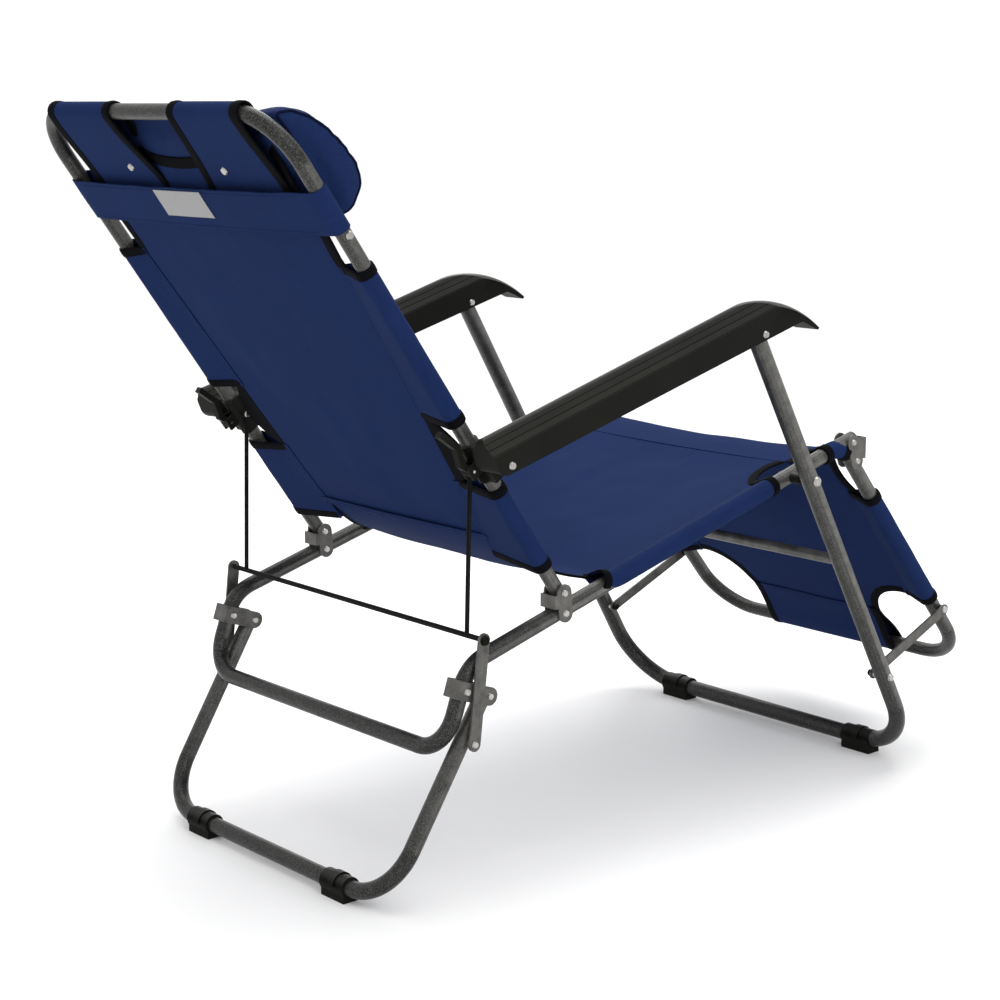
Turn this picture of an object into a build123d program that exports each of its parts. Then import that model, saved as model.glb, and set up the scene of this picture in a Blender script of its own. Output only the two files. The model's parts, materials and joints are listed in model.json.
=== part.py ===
"""Folding sling beach chair: tube frames, hinge brackets, armrests, braces, feet, slings and pillow.

Millimetres. +Z is up, the sitter faces -Y, the chair is symmetric about X = 0.
Left and right are the sitter's own: left is +X. The origin is the middle of the footprint, on the floor.
"""

import os
from math import atan2, cos, degrees, hypot, radians, sin, tan

from build123d import *

os.makedirs("parts", exist_ok=True)

SIDES = {"left": 1, "right": -1}

# ---------------------------------------------------------------- driving dimensions
TUBE_WALL = 1.2
SEAT_TUBE = 22.0
BACK_TUBE = 20.0
FOOTREST_TUBE = 22.0
FRONT_LEG_TUBE = 25.0
REAR_LEG_TUBE = 22.0
CROSSBAR_TUBE = 16.0
WIRE = 6.0
CROSS_ROD = 7.0

FRAME_HALF = 261.0          # seat, backrest and footrest side tubes, from the centre plane
BACK_TOP_HALF = 264.0
FRONT_LEG_TOP_HALF = 306.0
FRONT_LEG_FLOOR_HALF = 298.0
REAR_LEG_FLOOR_HALF = 256.0

SEAT_RAKE = 15.9            # seat rails rise towards the knees
RAIL_HEIGHT = 413.1         # rail axis above the floor at Y = 0
RAIL_FRONT = -364.0
RAIL_CORNER = 378.0
REAR_BAR = (416.0, 198.2)
RAIL_BEND = 58.0
REAR_BAR_BEND = 50.0

BACK_PIVOT = (223.5, 377.3)
BACK_RIVET_Y = 221.0
BACK_ANGLE = 54.5
BACK_LENGTH = 752.6
BACK_BEND = 72.0

KNEE_PIVOT = (-361.0, 484.6)
KNEE_RIVET_Y = -351.0
FOOTREST_ANGLE = 50.0
FOOTREST_LENGTH = 464.0
FOOTREST_BEND = 80.0

LEG_PIVOT_Y = -222.0
LEG_ANGLE = 59.9
LEG_ABOVE = 252.0           # leg pivot up to the armrest bolt
LEG_BELOW = 526.8           # leg pivot down to the floor bar
LEG_BEND = 100.0
CROSSBAR_BELOW = 146.0
BRACE_ON_LEG = 371.0        # leg pivot down to the brace bolt
BRACE_ON_FOOTREST = 336.0   # knee pivot down to the brace rivet

REAR_PIVOT = (351.0, 263.5)
REAR_LEG_ANGLE = 57.9
REAR_LEG_LENGTH = 288.5
REAR_LEG_BEND = 75.0
REAR_BRACKET_BELOW = 31.0   # rail corner down to the bracket rivet

CLAMP_UP = 233.0            # backrest pivot up to the armrest clamp
WIRE_HALF = 246.0
LINK_TOP = (365.0, 340.2)
LINK_BOTTOM = (381.0, 207.2)

TUBE_END = 10.0             # tube left beyond each end pivot
PLATE = 2.5                 # bracket sheet
PLATE_GAP = 0.5             # air between a bracket plate and the tube it straddles
PLATE_RADIUS = 12.0
RIVET = 6.0
RIVET_HEAD = 10.0
HEAD_HEIGHT = 2.0
RIVET_TAPER = 30.0
BOLT = 8.0
BOLT_HEAD = 15.0
RUN_FIT = 0.05              # radial clearance where a tube turns on a shank
LINK_FROM = 277.4           # inner face of the link plates
BRACE_FROM = 279.0          # inner face of the footrest braces
FLAT_BAR = 3.0


# ---------------------------------------------------------------- geometry helpers
def heading(angle):
    """Unit step (y, z) in the side plane, angle measured from +Y towards +Z."""
    return cos(radians(angle)), sin(radians(angle))


def step(start, angle, distance):
    """Side-plane point reached from start along the heading."""
    dy, dz = heading(angle)
    return start[0] + distance * dy, start[1] + distance * dz


def rail(y):
    """Side-plane point on the seat rail axis."""
    return y, RAIL_HEIGHT - y * tan(radians(SEAT_RAKE))


def apart(a, b):
    """Distance between two side-plane points."""
    return hypot(b[0] - a[0], b[1] - a[1])


def bearing(a, b):
    """Heading angle from one side-plane point to another."""
    return degrees(atan2(b[1] - a[1], b[0] - a[0]))


def side_plane(x, point, angle=0.0):
    """Sketch plane facing +X, its local X along the heading."""
    dy, dz = heading(angle)
    return Plane(origin=(x, *point), x_dir=(0, dy, dz), z_dir=(1, 0, 0))


def cross_plane(x, point, angle):
    """Sketch plane square to the heading, its local X along +X."""
    dy, dz = heading(angle)
    return Plane(origin=(x, *point), x_dir=(1, 0, 0), z_dir=(0, dy, dz))


def u_path(side_points):
    """Corner points of a U bent from one tube: (half width, (y, z)) down one side and up the other."""
    down = [(-half, *point) for half, point in side_points]
    up = [(half, *point) for half, point in reversed(side_points)]
    return down + up


def bent_bar(points, radii, diameter, mode=Mode.ADD):
    """Round bar swept through the corner points with a tangent arc at each bend."""
    with BuildLine() as path:
        FilletPolyline(*points, radius=radii)
    run = path.wire()
    with BuildSketch(Plane(run @ 0, z_dir=run % 0)) as section:
        Circle(diameter / 2)
    sweep(sections=section.sketch, path=run, mode=mode)


def bent_tube(points, radii, diameter):
    """Tube bent like bent_bar, its two ends swaged shut."""
    bent_bar(points, radii, diameter)
    bore = diameter - 2 * TUBE_WALL
    first, second = Vector(points[0]), Vector(points[1])
    inset = (second - first).normalized() * TUBE_WALL
    start = first + inset
    end = Vector(-start.X, start.Y, start.Z)
    bent_bar([start, *points[1:-1], end], radii, bore, mode=Mode.SUBTRACT)


def pin(point, x_from, x_to, diameter, mode=Mode.ADD):
    """Cylinder along X between two offsets from the centre plane."""
    with Locations(Location(((x_from + x_to) / 2, *point), (0, 90, 0))):
        Cylinder(diameter / 2, abs(x_to - x_from), mode=mode)


def drill(point, x_from, x_to, diameter):
    """Matching holes along X through both sides of a frame."""
    for side in SIDES.values():
        pin(point, side * x_from, side * x_to, diameter, mode=Mode.SUBTRACT)


def cap(point, face, way, diameter, height, taper):
    """Tapered head standing on a face square to X, growing towards +X or -X."""
    with BuildSketch(Plane(origin=(face, *point), z_dir=(way, 0, 0))) as disc:
        Circle(diameter / 2)
    extrude(disc.sketch, amount=height, taper=taper)


def rivet(point, x_from, x_to, shank, head, head_height):
    """Shank between two faces with a chamfered head outside each."""
    pin(point, x_from, x_to, shank)
    outward = 1 if x_to > x_from else -1
    cap(point, x_from, -outward, head, head_height, RIVET_TAPER)
    cap(point, x_to, outward, head, head_height, RIVET_TAPER)


def save(builder, label):
    """Label the part and write its STEP file."""
    builder.part.label = label
    export_step(builder.part, f"parts/{label}.step")


# ---------------------------------------------------------------- derived positions
LEG_PIVOT = rail(LEG_PIVOT_Y)
ARMREST_BOLT = step(LEG_PIVOT, LEG_ANGLE, LEG_ABOVE)
FLOOR_BAR = step(LEG_PIVOT, LEG_ANGLE, -LEG_BELOW)
CROSSBAR = step(LEG_PIVOT, LEG_ANGLE, -CROSSBAR_BELOW)
BRACE_LOW = step(LEG_PIVOT, LEG_ANGLE, -BRACE_ON_LEG)
BRACE_HIGH = step(KNEE_PIVOT, FOOTREST_ANGLE, -BRACE_ON_FOOTREST)
REAR_FLOOR_BAR = step(REAR_PIVOT, -REAR_LEG_ANGLE, REAR_LEG_LENGTH)
REAR_DROP = bearing(rail(RAIL_CORNER), REAR_BAR)
REAR_RIVET = step(rail(RAIL_CORNER), REAR_DROP, REAR_BRACKET_BELOW)
RAIL_RIVET = rail(BACK_RIVET_Y)
KNEE_RIVET = rail(KNEE_RIVET_Y)
CLAMP = step(BACK_PIVOT, BACK_ANGLE, CLAMP_UP)

PLATE_IN = FRAME_HALF - SEAT_TUBE / 2 - PLATE_GAP - PLATE
PLATE_OUT = FRAME_HALF + SEAT_TUBE / 2 + PLATE_GAP + PLATE


def front_leg_half(below_pivot):
    """Half width of the splayed front legs at a distance below the leg pivot."""
    share = (LEG_BELOW - below_pivot) / (LEG_ABOVE + LEG_BELOW)
    return FRONT_LEG_FLOOR_HALF + share * (FRONT_LEG_TOP_HALF - FRONT_LEG_FLOOR_HALF)


# ---------------------------------------------------------------- seat frame
SEAT_BENDS = (RAIL_BEND, REAR_BAR_BEND, REAR_BAR_BEND, RAIL_BEND)
SEAT_SIDE = [(FRAME_HALF, rail(RAIL_FRONT)), (FRAME_HALF, rail(RAIL_CORNER)), (FRAME_HALF, REAR_BAR)]

with BuildPart() as seat_frame:
    bent_tube(u_path(SEAT_SIDE), SEAT_BENDS, SEAT_TUBE)
    for fixed_hole in (KNEE_RIVET, RAIL_RIVET, REAR_RIVET):
        drill(fixed_hole, PLATE_IN, PLATE_OUT, RIVET)
    drill(LEG_PIVOT, PLATE_IN, PLATE_OUT, BOLT)
save(seat_frame, "seat_frame")


# ---------------------------------------------------------------- hinge brackets
BRACKET_WIDTH = 2 * (PLATE_OUT - FRAME_HALF)
INSIDE_WIDTH = BRACKET_WIDTH - 2 * PLATE
WEB_REACH = 14.8            # hinge pivot to the face of the back bracket's rear web
WEB_BELOW_PIVOT = 1.5
WEB_LAP = 4.0
KNEE_WEB_REACH = 15.4
KNEE_WEB_ABOVE = 3.0
CUT_LONG = 96.0             # inside cutter, longer than any bracket
CUT_SHORT = 48.0


def strap_outline(length, width):
    """Rounded plate around two rivets, from the plane's origin along its local X."""
    with Locations((length / 2, 0)):
        SlotCenterToCenter(length, width)


for name, side in SIDES.items():
    with BuildPart() as back_hinge_bracket:
        lean = bearing(RAIL_RIVET, BACK_PIVOT)
        with BuildSketch(side_plane(side * FRAME_HALF, RAIL_RIVET, lean)):
            strap_outline(apart(RAIL_RIVET, BACK_PIVOT), 2 * PLATE_RADIUS)
        with BuildSketch(side_plane(side * FRAME_HALF, BACK_PIVOT)):
            web_top = -WEB_BELOW_PIVOT
            web_bottom = RAIL_RIVET[1] + PLATE_RADIUS - WEB_LAP - BACK_PIVOT[1]
            with Locations((0, web_top)):
                Rectangle(WEB_REACH + PLATE, web_top - web_bottom, align=(Align.MIN, Align.MAX))
        extrude(amount=BRACKET_WIDTH / 2, both=True)
        with BuildSketch(side_plane(side * FRAME_HALF, BACK_PIVOT)):
            with Locations((WEB_REACH, 0)):
                Rectangle(CUT_SHORT, CUT_LONG, align=(Align.MAX, Align.CENTER))
        extrude(amount=INSIDE_WIDTH / 2, both=True, mode=Mode.SUBTRACT)
        pin(RAIL_RIVET, side * PLATE_IN, side * PLATE_OUT, RIVET, mode=Mode.SUBTRACT)
        pin(BACK_PIVOT, side * PLATE_IN, side * PLATE_OUT, RIVET, mode=Mode.SUBTRACT)
    save(back_hinge_bracket, f"back_hinge_bracket_{name}")

    with BuildPart() as knee_bracket:
        with BuildSketch(side_plane(side * FRAME_HALF, KNEE_PIVOT, bearing(KNEE_PIVOT, KNEE_RIVET))):
            strap_outline(apart(KNEE_PIVOT, KNEE_RIVET), 2 * PLATE_RADIUS)
        with BuildSketch(side_plane(side * FRAME_HALF, KNEE_PIVOT)):
            cap_height = KNEE_RIVET[1] + PLATE_RADIUS / 2 - KNEE_PIVOT[1] - KNEE_WEB_ABOVE
            with Locations((0, KNEE_WEB_ABOVE)):
                Rectangle(KNEE_WEB_REACH + PLATE, cap_height, align=(Align.MAX, Align.MIN))
        extrude(amount=BRACKET_WIDTH / 2, both=True)
        with BuildSketch(side_plane(side * FRAME_HALF, KNEE_PIVOT)):
            with Locations((-KNEE_WEB_REACH, 0)):
                Rectangle(CUT_SHORT, CUT_LONG, align=(Align.MIN, Align.CENTER))
        extrude(amount=INSIDE_WIDTH / 2, both=True, mode=Mode.SUBTRACT)
        pin(KNEE_PIVOT, side * PLATE_IN, side * PLATE_OUT, RIVET, mode=Mode.SUBTRACT)
        pin(KNEE_RIVET, side * PLATE_IN, side * PLATE_OUT, RIVET, mode=Mode.SUBTRACT)
    save(knee_bracket, f"knee_bracket_{name}")

    with BuildPart() as rear_leg_bracket:
        spacing = apart(REAR_PIVOT, REAR_RIVET)
        wrap = spacing + SEAT_TUBE / 2 + PLATE_GAP
        with BuildSketch(side_plane(side * FRAME_HALF, REAR_PIVOT, bearing(REAR_PIVOT, REAR_RIVET))):
            Circle(PLATE_RADIUS)
            Rectangle(wrap + PLATE, 2 * PLATE_RADIUS, align=(Align.MIN, Align.CENTER))
        extrude(amount=BRACKET_WIDTH / 2, both=True)
        with BuildSketch(side_plane(side * FRAME_HALF, REAR_PIVOT, bearing(REAR_PIVOT, REAR_RIVET))):
            with Locations((wrap, 0)):
                Rectangle(CUT_LONG, CUT_SHORT, align=(Align.MAX, Align.CENTER))
        extrude(amount=INSIDE_WIDTH / 2, both=True, mode=Mode.SUBTRACT)
        pin(REAR_PIVOT, side * PLATE_IN, side * PLATE_OUT, RIVET, mode=Mode.SUBTRACT)
        pin(REAR_RIVET, side * PLATE_IN, side * PLATE_OUT, RIVET, mode=Mode.SUBTRACT)
    save(rear_leg_bracket, f"rear_leg_bracket_{name}")

with BuildPart() as bracket_rivets:
    for side in SIDES.values():
        for spot in (BACK_PIVOT, RAIL_RIVET, KNEE_PIVOT, KNEE_RIVET, REAR_PIVOT, REAR_RIVET):
            rivet(spot, side * PLATE_IN, side * PLATE_OUT, RIVET, RIVET_HEAD, HEAD_HEIGHT)
save(bracket_rivets, "bracket_rivets")


# ---------------------------------------------------------------- front leg pivots
SPACER = 16.0
LEG_CLEAR = 0.4             # air beside the leaning leg tubes
LEG_INNER = front_leg_half(0) - FRONT_LEG_TUBE / 2 - LEG_CLEAR
LEG_OUTER = front_leg_half(0) + FRONT_LEG_TUBE / 2 + LEG_CLEAR
RAIL_INNER = FRAME_HALF - SEAT_TUBE / 2
RAIL_OUTER = FRAME_HALF + SEAT_TUBE / 2

with BuildPart() as leg_pivot_spacers:
    for side in SIDES.values():
        pin(LEG_PIVOT, side * RAIL_OUTER, side * LEG_INNER, SPACER)
        pin(LEG_PIVOT, side * RAIL_OUTER, side * LEG_INNER, BOLT, mode=Mode.SUBTRACT)
save(leg_pivot_spacers, "leg_pivot_spacers")

with BuildPart() as leg_pivot_bolts:
    for side in SIDES.values():
        rivet(LEG_PIVOT, side * RAIL_INNER, side * LEG_OUTER, BOLT, BOLT_HEAD, HEAD_HEIGHT)
save(leg_pivot_bolts, "leg_pivot_bolts")


# ---------------------------------------------------------------- backrest frame
BACK_SIDE = [
    (FRAME_HALF, step(BACK_PIVOT, BACK_ANGLE, -TUBE_END)),
    (BACK_TOP_HALF, step(BACK_PIVOT, BACK_ANGLE, BACK_LENGTH)),
]

with BuildPart() as backrest_frame:
    bent_tube(u_path(BACK_SIDE), (BACK_BEND, BACK_BEND), BACK_TUBE)
    drill(BACK_PIVOT, PLATE_IN, PLATE_OUT, RIVET + 2 * RUN_FIT)
save(backrest_frame, "backrest_frame")


# ---------------------------------------------------------------- footrest frame
FOOTREST_SIDE = [
    (FRAME_HALF, step(KNEE_PIVOT, FOOTREST_ANGLE, TUBE_END)),
    (FRAME_HALF, step(KNEE_PIVOT, FOOTREST_ANGLE, -FOOTREST_LENGTH)),
]
BOSS = 12.0
BOSS_GAP = 0.5

with BuildPart() as footrest_frame:
    bent_tube(u_path(FOOTREST_SIDE), (FOOTREST_BEND, FOOTREST_BEND), FOOTREST_TUBE)
    drill(KNEE_PIVOT, PLATE_IN, PLATE_OUT, RIVET + 2 * RUN_FIT)
    drill(BRACE_HIGH, FRAME_HALF, PLATE_OUT, RIVET)
save(footrest_frame, "footrest_frame")

with BuildPart() as footrest_bosses:
    for side in SIDES.values():
        pin(BRACE_HIGH, side * FRAME_HALF, side * RAIL_OUTER, RIVET)
        pin(BRACE_HIGH, side * RAIL_OUTER, side * (BRACE_FROM - BOSS_GAP), BOSS)
save(footrest_bosses, "footrest_bosses")


# ---------------------------------------------------------------- front leg frame
LEG_SIDE = [
    (FRONT_LEG_TOP_HALF, step(ARMREST_BOLT, LEG_ANGLE, TUBE_END)),
    (FRONT_LEG_FLOOR_HALF, FLOOR_BAR),
]
LEG_BENDS = (LEG_BEND, LEG_BEND)
FAR_OUT = FRONT_LEG_TOP_HALF + FRONT_LEG_TUBE
NEAR_IN = FRONT_LEG_FLOOR_HALF - FRONT_LEG_TUBE

with BuildPart() as front_leg_frame:
    bent_tube(u_path(LEG_SIDE), LEG_BENDS, FRONT_LEG_TUBE)
    drill(LEG_PIVOT, NEAR_IN, FAR_OUT, BOLT + 2 * RUN_FIT)
    drill(ARMREST_BOLT, NEAR_IN, FAR_OUT, BOLT)
    drill(BRACE_LOW, NEAR_IN, FAR_OUT, RIVET)
save(front_leg_frame, "front_leg_frame")

with BuildPart() as leg_crossbar:
    crossbar_half = front_leg_half(CROSSBAR_BELOW)
    pin(CROSSBAR, -crossbar_half, crossbar_half, CROSSBAR_TUBE)
    crossbar_bore = CROSSBAR_TUBE - 2 * TUBE_WALL
    pin(CROSSBAR, -crossbar_half, crossbar_half, crossbar_bore, mode=Mode.SUBTRACT)
    bent_bar(u_path(LEG_SIDE), LEG_BENDS, FRONT_LEG_TUBE, mode=Mode.SUBTRACT)
save(leg_crossbar, "leg_crossbar")


# ---------------------------------------------------------------- rear leg frame
REAR_SIDE = [
    (FRAME_HALF, step(REAR_PIVOT, -REAR_LEG_ANGLE, -TUBE_END)),
    (REAR_LEG_FLOOR_HALF, REAR_FLOOR_BAR),
]
REAR_BENDS = (REAR_LEG_BEND, REAR_LEG_BEND)
LINK_TO = LINK_FROM + FLAT_BAR
LINK_SPACER = 11.0
LINK_WIDTH = 18.0
LINK_GAP = 0.2

with BuildPart() as rear_leg_frame:
    bent_tube(u_path(REAR_SIDE), REAR_BENDS, REAR_LEG_TUBE)
    drill(REAR_PIVOT, PLATE_IN, PLATE_OUT, RIVET + 2 * RUN_FIT)
    drill(LINK_BOTTOM, FRAME_HALF, PLATE_OUT, RIVET)
save(rear_leg_frame, "rear_leg_frame")

with BuildPart() as link_pins:
    for side in SIDES.values():
        pin(LINK_BOTTOM, side * FRAME_HALF, side * (LINK_TO + LINK_GAP), RIVET)
        pin(LINK_BOTTOM, side * FRAME_HALF, side * (LINK_FROM - LINK_GAP), LINK_SPACER)
        cap(LINK_BOTTOM, side * (LINK_TO + LINK_GAP), side, RIVET_HEAD, HEAD_HEIGHT, RIVET_TAPER)
    bent_bar(u_path(REAR_SIDE), REAR_BENDS, REAR_LEG_TUBE, mode=Mode.SUBTRACT)
save(link_pins, "link_pins")


# ---------------------------------------------------------------- feet
FRONT_FOOT = (170.0, 224.0)
REAR_FOOT = (132.0, 180.0)
FOOT_WALL = 3.5
FOOT_EDGE = 3.0
FOOT_BAND = 14.0
FOOT_BAND_RISE = 2.0


def foot_clip(side, span, bar, diameter, path, bends):
    """Moulded sleeve clipped on a floor bar, flat on the floor, with a raised band on top."""
    middle = side * (span[0] + span[1]) / 2
    length = span[1] - span[0]
    half = diameter / 2 + FOOT_WALL
    with BuildSketch(side_plane(middle, bar)) as sleeve:
        Circle(half)
        with Locations((0, -bar[1])):
            Rectangle(2 * half - 2 * FOOT_EDGE, bar[1], align=(Align.CENTER, Align.MIN))
    extrude(sleeve.sketch, amount=length / 2, both=True)
    with BuildSketch(side_plane(middle, bar)) as band:
        Circle(half + FOOT_BAND_RISE)
        with Locations((0, -half)):
            Rectangle(3 * half, 2 * half, mode=Mode.SUBTRACT)
    extrude(band.sketch, amount=FOOT_BAND / 2, both=True)
    bent_bar(u_path(path), bends, diameter, mode=Mode.SUBTRACT)


for name, side in SIDES.items():
    with BuildPart() as front_foot:
        foot_clip(side, FRONT_FOOT, FLOOR_BAR, FRONT_LEG_TUBE, LEG_SIDE, LEG_BENDS)
    save(front_foot, f"front_foot_{name}")

    with BuildPart() as rear_foot:
        foot_clip(side, REAR_FOOT, REAR_FLOOR_BAR, REAR_LEG_TUBE, REAR_SIDE, REAR_BENDS)
    save(rear_foot, f"rear_foot_{name}")


# ---------------------------------------------------------------- footrest braces
BRACE_WIDTH = 16.0
BRACE_TO = BRACE_FROM + FLAT_BAR
BRACE_MIDDLE = (BRACE_FROM + BRACE_TO) / 2
BRACE_LEAN = bearing(BRACE_LOW, BRACE_HIGH)
BRACE_HEAD = 12.0
BRACE_BOLT_HEIGHT = 3.0
BRACE_CAP = 6.0
CAP_TAPER = 12.0
BOLT_TAPER = 20.0
LEG_FACE = front_leg_half(BRACE_ON_LEG)
BRACE_BOLT_OUT = LEG_FACE + FRONT_LEG_TUBE / 2 + LINK_GAP

for name, side in SIDES.items():
    with BuildPart() as footrest_brace:
        with BuildSketch(side_plane(side * BRACE_MIDDLE, BRACE_LOW, BRACE_LEAN)):
            strap_outline(apart(BRACE_LOW, BRACE_HIGH), BRACE_WIDTH)
        extrude(amount=FLAT_BAR / 2, both=True)
        pin(BRACE_LOW, side * BRACE_FROM, side * BRACE_TO, RIVET + 2 * RUN_FIT, mode=Mode.SUBTRACT)
        pin(BRACE_HIGH, side * BRACE_FROM, side * BRACE_TO, RIVET, mode=Mode.SUBTRACT)
    save(footrest_brace, f"footrest_brace_{name}")

    with BuildPart() as brace_rivet:
        pin(BRACE_HIGH, side * BRACE_FROM, side * BRACE_TO, RIVET)
        cap(BRACE_HIGH, side * BRACE_TO, side, BRACE_HEAD, HEAD_HEIGHT, RIVET_TAPER)
    save(brace_rivet, f"brace_rivet_{name}")

with BuildPart() as brace_bolts:
    for side in SIDES.values():
        pin(BRACE_LOW, side * (BRACE_FROM - LINK_GAP), side * BRACE_BOLT_OUT, RIVET)
        cap(BRACE_LOW, side * BRACE_BOLT_OUT, side, BRACE_HEAD, BRACE_BOLT_HEIGHT, BOLT_TAPER)
        pin(BRACE_LOW, side * (BRACE_TO + LINK_GAP), side * LEG_FACE, BOSS)
    bent_bar(u_path(LEG_SIDE), LEG_BENDS, FRONT_LEG_TUBE, mode=Mode.SUBTRACT)
save(brace_bolts, "brace_bolts")

with BuildPart() as brace_bolt_caps:
    for side in SIDES.values():
        cap(BRACE_LOW, side * (BRACE_FROM - LINK_GAP), -side, BOSS, BRACE_CAP, CAP_TAPER)
save(brace_bolt_caps, "brace_bolt_caps")


# ---------------------------------------------------------------- armrests
ARM_HALF_WIDTH = 20.0
ARM_TOP_REAR = (397.0, 600.0)
ARM_CREST = (-128.0, 756.0)
ARM_TIP = (-209.0, 701.0)
ARM_LIP = (-203.0, 693.0)
ARM_NOSE_UNDER = (-170.0, 707.0)
ARM_HEEL = (378.0, 552.0)
ARM_CORNERS = [ARM_TOP_REAR, ARM_CREST, ARM_TIP, ARM_LIP, ARM_NOSE_UNDER, ARM_HEEL]
ARM_CREST_BEND = 190.0
ARM_ROUNDS = [8.0, ARM_CREST_BEND, 3.0, 3.0, 12.0, 18.0]
HOLLOW_ROOF = [(386.0, 580.5), (-84.0, 720.0), (-120.0, 721.0), (-150.0, 713.0)]
HOLLOW_MOUTH = [(-150.0, 660.0), (351.0, 500.0)]
ARM_HOLLOW_STEPS = [(16.5, 0.0), (9.0, 10.0)]   # half width of the hollow, and its lift
NOSE_DROP = 6.0             # the nose's top down to its sides
NOSE_RADIUS = (ARM_HALF_WIDTH ** 2 + NOSE_DROP ** 2) / (2 * NOSE_DROP)
ROOF_DROP = 21.0            # the crown down to the ridge along each side
ROOF_SLOPE = 52.0
ROOF_BEND = 7.4
OVERRUN = 20.0              # how far the cutters run past the armrest
CLEAR = 3.0
GROOVES = [-20.0, -14.5, -9.0, 9.0, 14.5, 20.0]
GROOVE = 0.9
ARM_RIVET_HEAD = 10.5
SIDE_GAP = 0.3


def round_nose(centre):
    """Round an armrest's top across its width, all along its outline."""
    rise = bearing(ARM_TOP_REAR, ARM_CREST)
    start = step(ARM_TOP_REAR, rise, -OVERRUN)
    finish = step(ARM_TIP, bearing(ARM_CREST, ARM_TIP), OVERRUN)
    with BuildLine() as run:
        FilletPolyline((centre, *start), (centre, *ARM_CREST), (centre, *finish), radius=ARM_CREST_BEND)
    with BuildSketch(cross_plane(centre, start, rise)) as section:
        with Locations((0, -NOSE_DROP)):
            Rectangle(2 * (ARM_HALF_WIDTH + CLEAR), NOSE_DROP + CLEAR, align=(Align.CENTER, Align.MIN))
        with Locations((0, -NOSE_RADIUS)):
            Circle(NOSE_RADIUS, mode=Mode.SUBTRACT)
    sweep(sections=section.sketch, path=run.wire(), mode=Mode.SUBTRACT)


def slope_crown(centre):
    """Slope an armrest's straight top down to a ridge along each side, with grooves along the slopes."""
    rise = bearing(ARM_TOP_REAR, ARM_CREST)
    fall = tan(radians(ROOF_SLOPE))
    peak = ARM_HALF_WIDTH * fall - ROOF_DROP
    reach = ARM_HALF_WIDTH + CLEAR
    with BuildSketch(cross_plane(centre, step(ARM_TOP_REAR, rise, -OVERRUN), rise)) as section:
        with Locations((0, -ROOF_DROP)):
            Rectangle(2 * reach, ROOF_DROP + peak, align=(Align.CENTER, Align.MIN))
        with BuildLine():
            foot = peak - reach * fall
            FilletPolyline((-reach, foot), (0, peak), (reach, foot), radius=ROOF_BEND)
            Line((reach, foot), (-reach, foot))
        make_face(mode=Mode.SUBTRACT)
        for x in GROOVES:
            with Locations((x, peak - abs(x) * fall)):
                Circle(GROOVE)
    extrude(section.sketch, amount=apart(ARM_TOP_REAR, ARM_CREST) + 2 * OVERRUN, mode=Mode.SUBTRACT)


for name, side in SIDES.items():
    centre = side * FRONT_LEG_TOP_HALF
    skirt_in = side * (FRONT_LEG_TOP_HALF - ARM_HALF_WIDTH)
    skirt_out = side * (FRONT_LEG_TOP_HALF + ARM_HALF_WIDTH)
    with BuildPart() as armrest:
        with BuildSketch(side_plane(centre, (0, 0))):
            with BuildLine():
                FilletPolyline(*ARM_CORNERS, radius=ARM_ROUNDS, close=True)
            make_face()
        extrude(amount=ARM_HALF_WIDTH, both=True)
        round_nose(centre)
        slope_crown(centre)
        for half, lift in ARM_HOLLOW_STEPS:
            with BuildSketch(side_plane(centre, (0, lift))) as hollow:
                with BuildLine():
                    Polyline(*HOLLOW_ROOF, *HOLLOW_MOUTH, close=True)
                make_face()
            extrude(hollow.sketch, amount=half, both=True, mode=Mode.SUBTRACT)
        pin(ARMREST_BOLT, skirt_in, skirt_out, BOLT + 2 * RUN_FIT, mode=Mode.SUBTRACT)
        pin(CLAMP, skirt_in, skirt_out, BOLT, mode=Mode.SUBTRACT)
    save(armrest, f"armrest_{name}")

    with BuildPart() as armrest_rivet:
        pin(CLAMP, skirt_in, skirt_out, BOLT)
        cap(CLAMP, skirt_out, side, ARM_RIVET_HEAD, HEAD_HEIGHT, RIVET_TAPER)
    save(armrest_rivet, f"armrest_rivet_{name}")

with BuildPart() as armrest_bolts:
    arm_in = FRONT_LEG_TOP_HALF - ARM_HALF_WIDTH - SIDE_GAP
    arm_out = FRONT_LEG_TOP_HALF + ARM_HALF_WIDTH + SIDE_GAP
    for side in SIDES.values():
        rivet(ARMREST_BOLT, side * arm_in, side * arm_out, BOLT, ARM_RIVET_HEAD, HEAD_HEIGHT)
save(armrest_bolts, "armrest_bolts")


# ---------------------------------------------------------------- recline clamps and latch levers
CLAMP_LENGTH = 58.0
CLAMP_RADIUS = 13.5
CLAMP_INNER = 249.9
CLAMP_OUTER = 285.4
CLAMP_WEB = 16.0
SLOT_LENGTH = 26.0
SLOT_FROM = 273.6
SLOT_TO = 282.4
LEVER_WIDTH = 10.0
LEVER_CENTRE = 266.0
LEVER_HUB = 14.0
LEVER_BACK = 21.2           # backrest axis to the lever pin
EAR = 3.4
EAR_GAP = 0.4
EAR_LENGTH = 18.0
EAR_REACH = 28.0
LEVER_PIN = 4.0
LEVER_THICK = 8.0
LEVER_SPINE = [(0.0, 0.0), (15.0, -7.0), (39.0, 0.0), (70.0, -11.0)]
LEVER_PIVOT = step(CLAMP, BACK_ANGLE - 90, LEVER_BACK)
WIRE_EYE = 14.0
WIRE_EYE_THICK = 5.0
WIRE_PIN = 5.0
EAR_OUT = LEVER_CENTRE + LEVER_WIDTH / 2 + EAR_GAP + EAR
EAR_IN = LEVER_CENTRE - LEVER_WIDTH / 2 - EAR_GAP - EAR

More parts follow.
